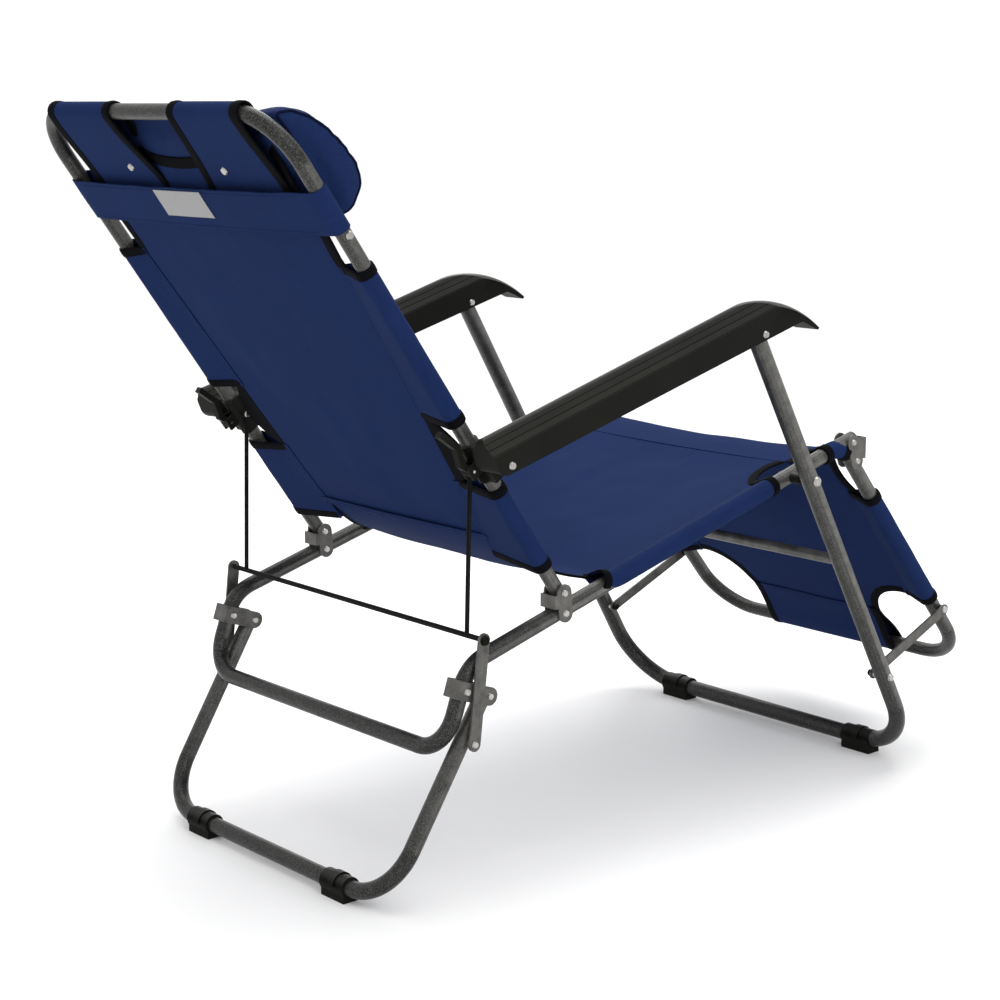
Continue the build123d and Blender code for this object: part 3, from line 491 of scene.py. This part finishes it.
def plated(name, base):
    """Bright plated steel, finely scratched and dulled in patches."""
    material, tree, shader = nodes_of(name)
    spot = add(tree, "ShaderNodeTexCoord").outputs["Object"]
    scratch = noise_of(tree, add(tree, "ShaderNodeVectorMath", {0: spot, 1: (1.0, 12.0, 12.0)},
                                 operation="MULTIPLY").outputs[0], 260.0, 2.0)
    dull = noise_of(tree, spot, 160.0, 3.0)
    tree.links.new(mix(tree, dull, (*base, 1), (*[c * 0.5 for c in base], 1)), shader.inputs["Base Color"])
    tree.links.new(spread(tree, dull, 0.3, 0.14), shader.inputs["Roughness"])
    shader.inputs["Metallic"].default_value = 1.0
    bump = add(tree, "ShaderNodeBump", {"Height": scratch, "Strength": 0.2, "Distance": 0.0001})
    tree.links.new(bump.outputs[0], shader.inputs["Normal"])
    return material


NAVY_DARK, NAVY_LIGHT = (0.0048, 0.0112, 0.043), (0.0125, 0.0275, 0.1)
NAVY = woven("navy_weave", NAVY_DARK, NAVY_LIGHT)
NAVY_SOFT = woven("navy_weave_soft", NAVY_DARK, NAVY_LIGHT, cloth_uv=False, sheen=0.02)
TAPE = woven("black_tape", (0.0012, 0.0013, 0.002), (0.0045, 0.0048, 0.0065), pitch=1.6, rib=True)
PIPING = woven("dark_piping", (0.0015, 0.003, 0.014), (0.004, 0.008, 0.03), pitch=1.2, rib=True)
THREAD = woven("navy_thread", (0.004, 0.008, 0.03), (0.01, 0.02, 0.07), pitch=0.5, cloth_uv=False)
LABEL = woven("plain_label", (0.24, 0.24, 0.245), (0.36, 0.36, 0.365), pitch=0.9, rough=0.6)
PAINT = hammered("hammered_grey", (0.004, 0.0043, 0.004), (0.07, 0.07, 0.066), gloss=0.25)
SHEET_PAINT = hammered("bracket_grey", (0.004, 0.0043, 0.004), (0.036, 0.036, 0.034), size=0.8, rough=0.42,
                       gloss=0.18)
WIRE_PAINT = hammered("wire_black", (0.0015, 0.0015, 0.0017), (0.008, 0.008, 0.008), size=0.8, rough=0.5,
                      metal=0.0, gloss=0.03, scuff=0.03)
# second colour: the paler tone of the painted top light and of the rubbed edges
PLASTIC = moulded("black_plastic", (0.0012, 0.0012, 0.001), (0.024, 0.0245, 0.021))
PLATED = plated("plated_steel", (0.5, 0.49, 0.47))

FINISH = {"frame_paint": PAINT, "bracket_paint": SHEET_PAINT, "wire_paint": WIRE_PAINT, "bright_steel": PLATED,
          "black_plastic": PLASTIC, "spacer_plastic": PLASTIC, "navy_cloth": NAVY_SOFT, "black_webbing": TAPE}
for row in frame["record"]["subparts"]:
    cad = frame["nodes"][row["node"]]
    cad.data.materials.clear()
    cad.data.materials.append(FINISH[row["material_slot"]])


# ---------------------------------------------------------------- the backrest cloth
BACK_SEAM = 78.0            # where the seat cloth's band is sewn over the backrest cloth
BACK_LOWER = (46.0, 186.0)  # hem pockets on the backrest tubes
BACK_UPPER = (294.0, 534.0)
CUTOUT_FOOT = 681.0         # finger cut-out between the two tabs
CUTOUT_CORNER = 16.0
TAB_IN, TAB_OUT = 68.0, 212.0
FLAP_END = 622.0            # where the turned-down tabs end, under the strap
NOTCH = (176.0, 304.0)      # the panel is drawn in beside the clamps, from and to
NOTCH_EDGE = 239.0          # and its edge there
BACK_SAG = 5.0
BACK_HEM = BACK_TUBE + 1.6  # radius of the pockets
BACK_WRAP = 11.6            # radius of the turn over the top bar
CLOTH_THICK = 1.2
THREAD_LIFT = 2.0           # a hem's stitches lie this far off the panel
COLUMNS = 49                # points across a panel


def back_stitch(v):
    """Stitch line of the backrest's hems: the pockets widen downwards."""
    return 228.0 - 0.104 * (560.0 - v)


def back_half(v):
    """Half width of the backrest panel."""
    stitch = back_stitch(v)
    hidden = stitch + 7.0
    if NOTCH[0] < v < NOTCH[1]:
        return hidden + (NOTCH_EDGE - hidden) * math.sin(math.pi * ramp(v, *NOTCH)) ** 0.6
    return hidden + (stitch - hidden) * ramp(v, 520, 545) + (TAB_OUT - stitch) * ramp(v, 560, 740)


def back_sag(x, v):
    span = 1 - min(abs(x) / 235.0, 1.0) ** 2
    broad = noise.noise(Vector((x * 0.011, v * 0.007, 3.1)))
    fine = noise.noise(Vector((x * 0.03, v * 0.012, 9.0)))
    soft = 2.2 * broad + 0.8 * fine
    return (-BACK_SAG * span - soft * span * 1.3) * ramp(v, 60, 160) * (1 - ramp(v, 600, 700))


back_line = [back_point(v) + BACK_UP * BACK_WRAP * ramp(v, 640, 742) for v in np.arange(0, TOP_BAR, 4.0)]
back_line += round_bar(back_point, BACK_UP, TOP_BAR, BACK_WRAP)
for t in np.linspace(0.03, 1, 28):
    lift = -BACK_WRAP + (BACK_WRAP - 3.0) * ramp(t, 0, 0.85)
    back_line.append(back_point(TOP_BAR - (TOP_BAR - FLAP_END) * t) + BACK_UP * lift)
back_cloth = Cloth(back_line, BACK_UP, back_sag)
BACK_LENGTH = float(back_cloth.along[-1])
WRAP_TO = TOP_BAR + math.pi * BACK_WRAP


def tab_half(v):
    return back_half(min(v, 740)) + 3.0 * ramp(v, WRAP_TO, BACK_LENGTH)


def tab_inner(v):
    """Inner edge of a tab: a round-cornered cut-out at its foot, closing again down the turned flap."""
    if v < CUTOUT_FOOT + CUTOUT_CORNER:
        t = (v - CUTOUT_FOOT) / CUTOUT_CORNER
        return TAB_IN * math.sqrt(1 - (1 - t) ** 2.4)
    return TAB_IN - 36.0 * ramp(v, WRAP_TO - 10, BACK_LENGTH + 60)


panel = Mesh()
main_rows = np.arange(BACK_SEAM - 4, CUTOUT_FOOT, 8.0).tolist() + [CUTOUT_FOOT]
lay(panel, back_cloth, [[back_half(v) * u for u in np.linspace(-1, 1, COLUMNS)] for v in main_rows], main_rows)
corner_rows = CUTOUT_FOOT + CUTOUT_CORNER * np.array([0, 0.03, 0.1, 0.22, 0.4, 0.65, 1.0])
tab_rows = np.concatenate([corner_rows, np.linspace(CUTOUT_FOOT + 22, BACK_LENGTH, 44)])
for side in SIDES.values():
    widths = [np.linspace(tab_inner(v), tab_half(v), COLUMNS // 2 + 1) * side for v in tab_rows]
    lay(panel, back_cloth, widths, tab_rows)
    for ends in (BACK_LOWER, BACK_UPPER):
        hem(panel, back_cloth, ends, back_stitch, BACK_HEM, side)
backrest_sheet = panel.build("backrest_sheet", NAVY, thick=CLOTH_THICK)

binding = Mesh()
for side in SIDES.values():
    for v, way in ((BACK_LOWER[0], 1), (BACK_LOWER[1], -1), (BACK_UPPER[0], 1), (BACK_UPPER[1], -1)):
        cuff(binding, back_cloth, v, way, back_stitch, BACK_HEM, side)
    notch = [(back_half(v) * side, v) for v in np.linspace(NOTCH[0] + 3, NOTCH[1] - 3, 40)]
    tape(binding, back_cloth, notch, side, inner_x=back_stitch)
    outer = [(back_half(v) * side, v) for v in np.linspace(524, CUTOUT_FOOT, 24)]
    outer += [(tab_half(v) * side, v) for v in np.linspace(CUTOUT_FOOT + 6, BACK_LENGTH, 60)]
    tape(binding, back_cloth, outer, side, width=14.0)
    inner = [(tab_inner(v) * side, v) for v in tab_rows]
    tape(binding, back_cloth, inner, -side, width=13.0)
backrest_binding = binding.build("backrest_binding", TAPE)

thread = Mesh()
for side in SIDES.values():
    for ends in (BACK_LOWER, BACK_UPPER):
        line = [(back_stitch(v), v) for v in np.linspace(*ends, 30)]
        for lift in (THREAD_LIFT, -THREAD_LIFT):
            stitches(thread, beside(back_cloth, lift, side), line)
backrest_stitching = thread.build("backrest_stitching", THREAD, weld=0)


# ---------------------------------------------------------------- the seat cloth, round the back hinge
SEAT_EDGE = 243.0           # half width of the seat and footrest panels
SEAT_FRONT = -262.0         # cross seam under the knees
SEAT_HEM = (147.0, -190.0)  # hem pockets on the rails, by Y
HINGE_SEAT_Y = 108.0        # where the cloth leaves the rails' plane towards the backrest
HINGE_BACK = 92.0           # and where it meets the backrest's plane
HINGE_PULL = 52.0           # how softly it turns between them
BAND_TOP = 86.0             # upper edge of its band on the backrest
BAND_UNDER = 1.7            # the band lies behind the backrest cloth
SEAT_SAG = 8.0
SEAT_STITCH = 234.0
SEAT_HEM_RADIUS = SEAT_TUBE + 1.6


def seat_sag(x, v):
    span = 1 - min(abs(x) / 240.0, 1.0) ** 2
    broad = noise.noise(Vector((x * 0.01, v * 0.008, 21.0)))
    soft = 2.4 * broad + noise.noise(Vector((x * 0.03, v * 0.02, 5.0)))
    held = ramp(v, -30, 60) * (1 - ramp(v, 440, 500))
    return -SEAT_SAG * span * (0.45 + 0.55 * held) + soft * span * held


def y_run(y_from, y_to, step=4.0):
    return [rail_point(y) for y in np.linspace(y_from, y_to, max(int(abs(y_to - y_from) / step), 2))]


corner_a, corner_b = rail_point(HINGE_SEAT_Y), back_point(HINGE_BACK)
seat_line = y_run(SEAT_FRONT, HINGE_SEAT_Y - 2)
seat_line += list(bezier(corner_a, corner_a - SEAT_WAY * HINGE_PULL,
                         corner_b - BACK_WAY * HINGE_PULL, corner_b, 40))
seat_line += [back_point(s) for s in np.linspace(HINGE_BACK + 3, HINGE_BACK + 12, 4)]
seat_cloth = Cloth(seat_line, SEAT_UP, seat_sag)


def seat_v(y):
    return (y - SEAT_FRONT) / -SEAT_WAY[0]


BAND_V = seat_cloth.near(back_point(BAND_TOP))
REAR_V = seat_v(SEAT_HEM[0])
NOTCH_V = seat_v(SEAT_HEM[1])


def seat_stitch(_):
    return SEAT_STITCH


def seat_half(v):
    """Half width of the seat panel: notched at the leg pivots, drawn in round the back hinge."""
    notch_end = NOTCH_V + 6
    if v < notch_end:
        deep = math.sin(math.pi * (notch_end - v) / (notch_end + 20)) ** 0.6
        return SEAT_EDGE - 34.0 * deep
    drawn_in = back_stitch(62) + 4
    return SEAT_EDGE + (drawn_in - SEAT_EDGE) * ramp(v, REAR_V - 12, BAND_V - 30)


panel = Mesh()
seat_rows = np.concatenate([np.linspace(0, NOTCH_V + 10, 14), np.linspace(NOTCH_V + 18, BAND_V, 62)])
lay(panel, seat_cloth, [[seat_half(v) * u for u in np.linspace(-1, 1, COLUMNS)] for v in seat_rows], seat_rows,
    lift=lambda v: -BAND_UNDER * ramp(v, BAND_V - 20, BAND_V - 6))
for side in SIDES.values():
    hem(panel, seat_cloth, (NOTCH_V, REAR_V), seat_stitch, SEAT_HEM_RADIUS, side, ruffle=0.2, gap=0.45)
seat_sheet = panel.build("seat_sheet", NAVY, thick=CLOTH_THICK)

binding = Mesh()
for side in SIDES.values():
    cuff(binding, seat_cloth, NOTCH_V, 1, seat_stitch, SEAT_HEM_RADIUS, side)
    cuff(binding, seat_cloth, REAR_V, -1, seat_stitch, SEAT_HEM_RADIUS, side)
    tape(binding, seat_cloth, [(seat_half(v) * side, v) for v in np.linspace(0, NOTCH_V + 4, 20)], side)
    tape(binding, seat_cloth, [(seat_half(v) * side, v) for v in np.linspace(REAR_V - 8, BAND_V, 34)], side)
seat_binding = binding.build("seat_binding", TAPE)

thread = Mesh()
for side in SIDES.values():
    stitches(thread, beside(seat_cloth, -THREAD_LIFT, side),
             [(SEAT_STITCH, v) for v in np.linspace(NOTCH_V, REAR_V, 40)])
for offset in (5.0, 12.0):
    half = seat_half(BAND_V) - 8
    stitches(thread, beside(seat_cloth, -BAND_UNDER - 0.6),
             [(x, BAND_V - offset) for x in np.linspace(-half, half, 30)])
seat_stitching = thread.build("seat_stitching", THREAD, weld=0)

for piece in (seat_sheet, seat_binding, seat_stitching):
    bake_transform(piece)


# ---------------------------------------------------------------- the footrest cloth, round the knees
KNEE_HEM = (-298.0, -346.0)     # short pockets on the rails' front ends, by Y
FOOT_HEM = (78.0, 316.0)        # pockets on the footrest's tubes
KNEE_FROM, KNEE_TO = -312.0, 74.0   # where the cloth leaves the rails' plane and meets the footrest's
KNEE_PULL = 46.0
TONGUE = 130.0                  # half width of the tongue
TONGUE_FROM = 402.0             # where it leaves the panel
TONGUE_HEM = 372.0              # and where its turned end is sewn
KNEE_STITCH = 236.0
FOOT_STITCH = 226.0
KNEE_HEM_RADIUS = SEAT_TUBE + 1.4
FOOT_HEM_RADIUS = FOOT_TUBE + 1.6
FOOT_WRAP = FOOT_TUBE + 1.4
TURNED = FOOT_BAR - TONGUE_HEM


def foot_sag(x, v):
    past_bar = v - (foot_cloth.along[-1] - TURNED)
    if past_bar > 0:        # the turned tongue hangs with the cloth over it
        return -foot_sag(x, FOOT_ZERO + FOOT_BAR - past_bar)
    span = 1 - min(abs(x) / 240.0, 1.0) ** 2
    soft = 2.0 * noise.noise(Vector((x * 0.012, v * 0.009, 41.0)))
    knee = ramp(v, 25, 80) * (1 - ramp(v, 150, 200))
    shin = (soft - 3.0 * ramp(v, 160, 220)) * (1 - ramp(v, 480, 540)) * ramp(v, 10, 60)
    return span * (shin - 5.0 * knee - SEAT_SAG * 0.45 * (1 - ramp(v, 60, 200)))


corner_a, corner_b = rail_point(KNEE_FROM), foot_point(KNEE_TO)
foot_line = y_run(SEAT_FRONT, KNEE_FROM + 2)
foot_line += list(bezier(corner_a, corner_a + SEAT_WAY * KNEE_PULL, corner_b - FOOT_WAY * KNEE_PULL, corner_b, 34))
foot_line += [foot_point(s) + FOOT_UP * FOOT_WRAP * ramp(s, 360, 455) for s in np.arange(KNEE_TO + 4, FOOT_BAR, 4.0)]
foot_line += round_bar(foot_point, FOOT_UP, FOOT_BAR, FOOT_WRAP)
for t in np.linspace(0.04, 1, 22):
    lift = -FOOT_WRAP + (FOOT_WRAP - 1.7) * ramp(t, 0, 0.9)
    foot_line.append(foot_point(FOOT_BAR - TURNED * t) + FOOT_UP * lift)
foot_cloth = Cloth(foot_line, SEAT_UP, foot_sag)


def knee_v(y):
    return (SEAT_FRONT - y) / -SEAT_WAY[0]


FOOT_ZERO = foot_cloth.near(foot_point(200)) - 200      # cloth distance of the knee pivot
KNEE_ENDS = (knee_v(KNEE_HEM[0]), knee_v(KNEE_HEM[1]))
FOOT_ENDS = (FOOT_ZERO + FOOT_HEM[0], FOOT_ZERO + FOOT_HEM[1])
PANEL_TO = FOOT_ZERO + 300


def foot_half(v):
    """Half width of the footrest panel: a shallow notch between the knee pockets and the footrest's own."""
    start, end = KNEE_ENDS[1] - 4, FOOT_ENDS[0] + 4
    if v < KNEE_ENDS[0]:
        return SEAT_EDGE - 12.0 * (1 - ramp(v, 0, KNEE_ENDS[0]))
    if start < v < end:
        return SEAT_EDGE - 20.0 * math.sin(math.pi * (v - start) / (end - start)) ** 0.8
    return SEAT_EDGE


ARCH = catmull([(TONGUE, TONGUE_FROM), (136, 372), (150, 343), (174, 322), (203, 313), (228, 315), (243, 317)], 40)


def panel_foot(x):
    """Lower edge of the footrest panel: straight above the tongue, arched towards the tubes."""
    return FOOT_ZERO + (TONGUE_FROM if abs(x) <= TONGUE else float(np.interp(abs(x), ARCH[:, 0], ARCH[:, 1])))


inner_x = np.linspace(-TONGUE, TONGUE, 27)
outer_u = np.linspace(0, 1, 15)[1:] ** 1.6
panel = Mesh()
rows, coords = [], []
for t in np.linspace(0, 1, 74):
    probe = t * PANEL_TO
    outer_x = TONGUE + (foot_half(probe) - TONGUE) * outer_u
    at = [(x, probe + (panel_foot(x) - PANEL_TO) * ramp(t, 0.45, 1.0))
          for x in np.concatenate([-outer_x[::-1], inner_x, outer_x])]
    rows.append([foot_cloth(*p) for p in at])
    coords.append(at)
panel.grid(rows, coords)
tongue_rows = np.linspace(FOOT_ZERO + TONGUE_FROM, foot_cloth.along[-1], 40)
lay(panel, foot_cloth, [inner_x] * len(tongue_rows), tongue_rows)
FOOT_POCKETS = ((KNEE_ENDS, lambda v: KNEE_STITCH, KNEE_HEM_RADIUS),
                (FOOT_ENDS, lambda v: FOOT_STITCH, FOOT_HEM_RADIUS))
for side in SIDES.values():
    for ends, stitch_at, radius in FOOT_POCKETS:
        hem(panel, foot_cloth, ends, stitch_at, radius, side)
footrest_sheet = panel.build("footrest_sheet", NAVY, thick=CLOTH_THICK)

binding = Mesh()
for side in SIDES.values():
    for ends, stitch_at, radius in FOOT_POCKETS:
        cuff(binding, foot_cloth, ends[0], 1, stitch_at, radius, side)
        cuff(binding, foot_cloth, ends[1], -1, stitch_at, radius, side)
    for run in (np.linspace(0, KNEE_ENDS[0] + 2, 10), np.linspace(KNEE_ENDS[1] - 2, FOOT_ENDS[0] + 4, 30)):
        tape(binding, foot_cloth, [(foot_half(v) * side, v) for v in run], side)
    arch = [(x * side, FOOT_ZERO + s) for x, s in ARCH[::-1]]
    arch += [(TONGUE * side, v) for v in tongue_rows[1:]]
    tape(binding, foot_cloth, arch, side)
footrest_binding = binding.build("footrest_binding", TAPE)

thread = Mesh()
hem_at = foot_cloth.along[-1] - 5.0
stitches(thread, beside(foot_cloth, THREAD_LIFT), [(x, hem_at) for x in np.linspace(-TONGUE + 6, TONGUE - 6, 24)])
for side in SIDES.values():
    for lift in (THREAD_LIFT, -THREAD_LIFT):
        stitches(thread, beside(foot_cloth, lift, side), [(FOOT_STITCH, v) for v in np.linspace(*FOOT_ENDS, 30)])
footrest_stitching = thread.build("footrest_stitching", THREAD, weld=0)

for piece in (footrest_sheet, footrest_binding, footrest_stitching):
    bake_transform(piece)


# ---------------------------------------------------------------- the pillow and its strap
def on_back(x, s, d):
    """Point on the backrest: X, distance up it, lift off it towards the sitter."""
    return np.array([x, *(back_point(s) + BACK_UP * d)])


def strap_wave(x, s):
    """How far the strap ripples off its line."""
    return 0.7 * noise.noise(Vector((x * 0.018, s * 0.02, 50.0)))


def behind(x):
    """Lift of the strap's run behind the backrest: drawn towards the tubes at its ends."""
    return -STRAP_BEHIND + 3.0 * (abs(x) / 262) ** 2


STRAP = (590.0, 650.0)      # lower and upper edge, up the backrest
STRAP_BEHIND = 15.6
STRAP_WRAP = BACK_TUBE + 1.4
STRAP_TUBE = 262.8          # centre of its turn round each tube
strap_line = [(x, behind(x)) for x in np.linspace(0, 250, 26)]
for angle in np.linspace(-78, 100, 18):
    a = math.radians(angle)
    strap_line.append((STRAP_TUBE + STRAP_WRAP * math.cos(a), STRAP_WRAP * math.sin(a)))
strap_line += [tuple(p) for p in catmull([strap_line[-1], (250, 13.5), (242, 18), (233, 26)], 12)[1:]]
full = [(-x, d) for x, d in reversed(strap_line[1:])] + strap_line
lengths = np.concatenate([[0], np.cumsum(np.linalg.norm(np.diff(np.array(full), axis=0), axis=1))])
strap = Mesh()
heights = np.linspace(*STRAP, 9)
rows = []
for x, d in full:
    shift = 1.2 * noise.noise(Vector((x * 0.02, 0, 60.0)))
    rows.append([on_back(x, s + shift, d + strap_wave(x, s)) for s in heights])
strap.grid(rows, [[(s, run) for s in heights] for run in lengths])
pillow_strap = strap.build("strap", NAVY, thick=1.8)
thread = Mesh()
flat_strap = np.array([p for p in full if abs(p[0]) < 248])
for s in (STRAP[0] + 4.5, STRAP[1] - 4.5):
    stitches(thread, lambda x, d, s=s: (on_back(x, s, d - 1.1), np.array([0, *(-BACK_UP)])), flat_strap)
strap_stitching = thread.build("strap_stitching", THREAD, weld=0)

LABEL_X = (-40.0, 64.0)
LABEL_S = (608.0, 647.0)
LABEL_OFF = 1.9             # behind the strap's line
label = Mesh()
xs = np.linspace(*LABEL_X, 21)
ss = np.linspace(*LABEL_S, 9)
label.grid([[on_back(x, s, behind(x) - LABEL_OFF + strap_wave(x, s)) for s in ss] for x in xs],
           [[(x, s) for s in ss] for x in xs])
plain_label = label.build("plain_label", LABEL, thick=0.8)

PILLOW_END = 258.0
PILLOW_FLAT = 14.0          # its back lies this far in front of the tubes' plane
PILLOW_MID = np.array([662.0, 32.0])
PILLOW_OUTLINE = [(582, 8), (580, 32), (590, 56), (610, 70), (638, 73), (668, 69), (700, 59), (727, 44),
                  (744, 24), (745, 8), (732, 2), (690, 3), (640, 3), (597, 3)]
GATHERS = 15                # folds round each end
GATHER_REACH = 34.0
PIPING_RADIUS = 1.7
PIPING_AT = PILLOW_END - 10.0
PIPING_LOW = 13.5           # the piping stays in front of the backrest cloth


def pillow_section(share):
    """Side outline of the pillow shrunk towards its middle."""
    ring = catmull([*PILLOW_OUTLINE, PILLOW_OUTLINE[0]], 57)[:-1]
    return PILLOW_MID + (ring - PILLOW_MID) * share


def pillow_mesh():
    """The pillow before it is filled: its outline at stations along X, smaller at the ends."""
    body = Mesh()
    end = [(-1.0, 0.80), (-0.985, 0.9), (-0.95, 0.94), (-0.85, 0.95)]
    middle = [(u, 0.95 + 0.015 * math.cos(u * 3)) for u in np.linspace(-0.7, 0.7, 15)]
    stations = [*end, *middle, *((-u, share) for u, share in reversed(end))]
    rows = [[on_back(u * (PILLOW_END - 8), s, max(d, PILLOW_FLAT)) for s, d in pillow_section(share)]
            for u, share in stations]
    body.grid(rows, [[(0, 0)] * len(rows[0])] * len(rows), ring=True, caps=True)
    return body.build("pillow", NAVY_SOFT, weld=0)


def inflate(obj, voxel=0.006, pressure=4.0, frames=20, cap=0.009):
    """Swell a closed form like a stuffed cover, no point moving further than the cap."""
    remesh = obj.modifiers.new("remesh", "REMESH")
    remesh.mode, remesh.voxel_size = "VOXEL", voxel
    apply_modifiers(obj)
    rest = np.array([v.co[:] for v in obj.data.vertices])
    cloth = obj.modifiers.new("cloth", "CLOTH")
    cloth.settings.use_pressure = True
    cloth.settings.uniform_pressure_force = pressure
    cloth.settings.effector_weights.gravity = 0
    cloth.settings.tension_stiffness = cloth.settings.compression_stiffness = 12
    cloth.settings.mass = 0.25
    scene = bpy.context.scene
    for step in range(1, frames + 1):
        scene.frame_set(step)
    apply_modifiers(obj)
    move = np.array([v.co[:] for v in obj.data.vertices]) - rest
    far = np.linalg.norm(move, axis=1)
    move *= np.minimum(1.0, cap / np.maximum(far, 1e-9))[:, None]
    for vertex, at in zip(obj.data.vertices, rest + move):
        vertex.co = at
    scene.frame_set(1)
    obj.modifiers.new("fine", "SUBSURF").levels = 1
    apply_modifiers(obj)


pillow = pillow_mesh()
inflate(pillow)
for vertex in pillow.data.vertices:
    # gathers that run in from the end seams, and the soft dents of a loose filling
    x = vertex.co.x / MM
    from_pivot = np.array(vertex.co.yz) / MM - BACK_PIVOT
    s, d = from_pivot @ BACK_WAY, from_pivot @ BACK_UP
    turn = math.atan2(d - PILLOW_MID[1], s - PILLOW_MID[0])
    folds = math.sin(turn * GATHERS + 2 * noise.noise(Vector((turn, 4, 4))))
    gather = math.exp((abs(x) - PIPING_AT) / GATHER_REACH) * folds
    dent = noise.noise(Vector((x * 0.012, s * 0.02, d * 0.02 + 9)))
    out = np.array([0, *(BACK_WAY * math.cos(turn) + BACK_UP * math.sin(turn))])
    shift = out * (1.1 * gather + 2.2 * dent * ramp(d, 16, 30)) * MM
    vertex.co += Vector(shift)

piping = Mesh()
for side in SIDES.values():
    seam = [on_back(side * PIPING_AT, s, max(d, PIPING_LOW)) for s, d in pillow_section(1.0)]
    centres = []
    for spot in seam:
        _, near, out, _ = pillow.closest_point_on_mesh(Vector(spot) * MM)
        centres.append(np.array(near) / MM + np.array(out) * PIPING_RADIUS * 0.4)
    count = len(centres)
    rows = []
    for i in range(count + 1):
        centre = centres[i % count]
        way = unit(centres[(i + 1) % count] - centres[i % count - 1])
        first = unit(np.cross(way, np.array([1.0, 0, 0])))
        second = np.cross(way, first)
        rows.append([centre + PIPING_RADIUS * (first * math.cos(a) + second * math.sin(a))
                     for a in np.linspace(0, 2 * math.pi, 9)[:-1]])
    piping.grid(rows, [[(a, i * 4.0) for a in range(8)] for i in range(count + 1)], ring=True)
pillow_piping = piping.build("pillow_piping", PIPING)


# ---------------------------------------------------------------- what rides on what, and which CAD parts are hidden
for piece in (backrest_sheet, backrest_binding, backrest_stitching, pillow_strap, strap_stitching, plain_label,
              pillow, pillow_piping):
    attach(piece, "backrest")
pillow_floor = on_back(0, PILLOW_MID[0], 4.0) * MM
for piece in (pillow, pillow_piping):
    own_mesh(piece)

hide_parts("backrest_sling")
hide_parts("seat_sling")
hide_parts("footrest_sling")
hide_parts("pillow_strap")
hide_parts("head_pillow")


# ---------------------------------------------------------------- floor, light and camera
def pale(name, colour, rough):
    """Smooth painted board, very slightly uneven."""
    material, tree, shader = nodes_of(name)
    spot = add(tree, "ShaderNodeTexCoord").outputs["Object"]
    share = noise_of(tree, spot, 1.5, 2.0)
    tree.links.new(mix(tree, share, (*colour, 1), (*[c * 0.985 for c in colour], 1)), shader.inputs["Base Color"])
    shader.inputs["Roughness"].default_value = rough
    return material


FLOOR_HALF = 120.0
floor_mesh = bpy.data.meshes.new("floor")
corners = [(x * FLOOR_HALF, y * FLOOR_HALF, 0) for x, y in ((-1, -1), (1, -1), (1, 1), (-1, 1))]
floor_mesh.from_pydata(corners, [], [(0, 1, 2, 3)])
floor = bpy.data.objects.new("floor", floor_mesh)
bpy.context.scene.collection.objects.link(floor)
floor.data.materials.append(pale("pale_floor", (0.95, 0.95, 0.95), 0.8))

world = bpy.data.worlds.new("studio")
world.use_nodes = True
sky = world.node_tree.nodes["Background"]
sky.inputs["Color"].default_value = (1.0, 1.0, 1.0, 1)
sky.inputs["Strength"].default_value = 1.08
bpy.context.scene.world = world


def softbox(name, place, target, size, power):
    light = bpy.data.lights.new(name, "AREA")
    light.shape, light.size, light.size_y, light.energy = "RECTANGLE", size[0], size[1], power
    lamp = bpy.data.objects.new(name, light)
    lamp.location = place
    lamp.rotation_euler = (Vector(target) - Vector(place)).to_track_quat("-Z", "Y").to_euler()
    bpy.context.scene.collection.objects.link(lamp)


softbox("overhead", (0.3, -0.4, 3.4), (0, 0, 0.4), (2.6, 2.6), 60)
softbox("key", (-3.0, 1.2, 2.6), (0, 0, 0.5), (1.6, 1.6), 25)
softbox("rim", (2.6, -1.8, 2.4), (0, 0, 0.6), (1.4, 1.8), 20)

CAMERA_TARGET = Vector((0, 0.0953, 0.4445))
CAMERA_AZIMUTH = 228.947
CAMERA_HEIGHT = 10.863
CAMERA_FAR = 2.932
CAMERA_LENS = 73.99
a, e = math.radians(CAMERA_AZIMUTH), math.radians(CAMERA_HEIGHT)
back = Vector((math.sin(a) * math.cos(e), -math.cos(a) * math.cos(e), math.sin(e)))
camera = bpy.data.objects.new("camera", bpy.data.cameras.new("camera"))
camera.data.lens, camera.data.sensor_width = CAMERA_LENS, 36.0
camera.location = CAMERA_TARGET + back * CAMERA_FAR
camera.rotation_euler = back.to_track_quat("Z", "Y").to_euler()
bpy.context.scene.collection.objects.link(camera)
bpy.context.scene.camera = camera
bpy.context.scene.view_settings.view_transform = "Standard"
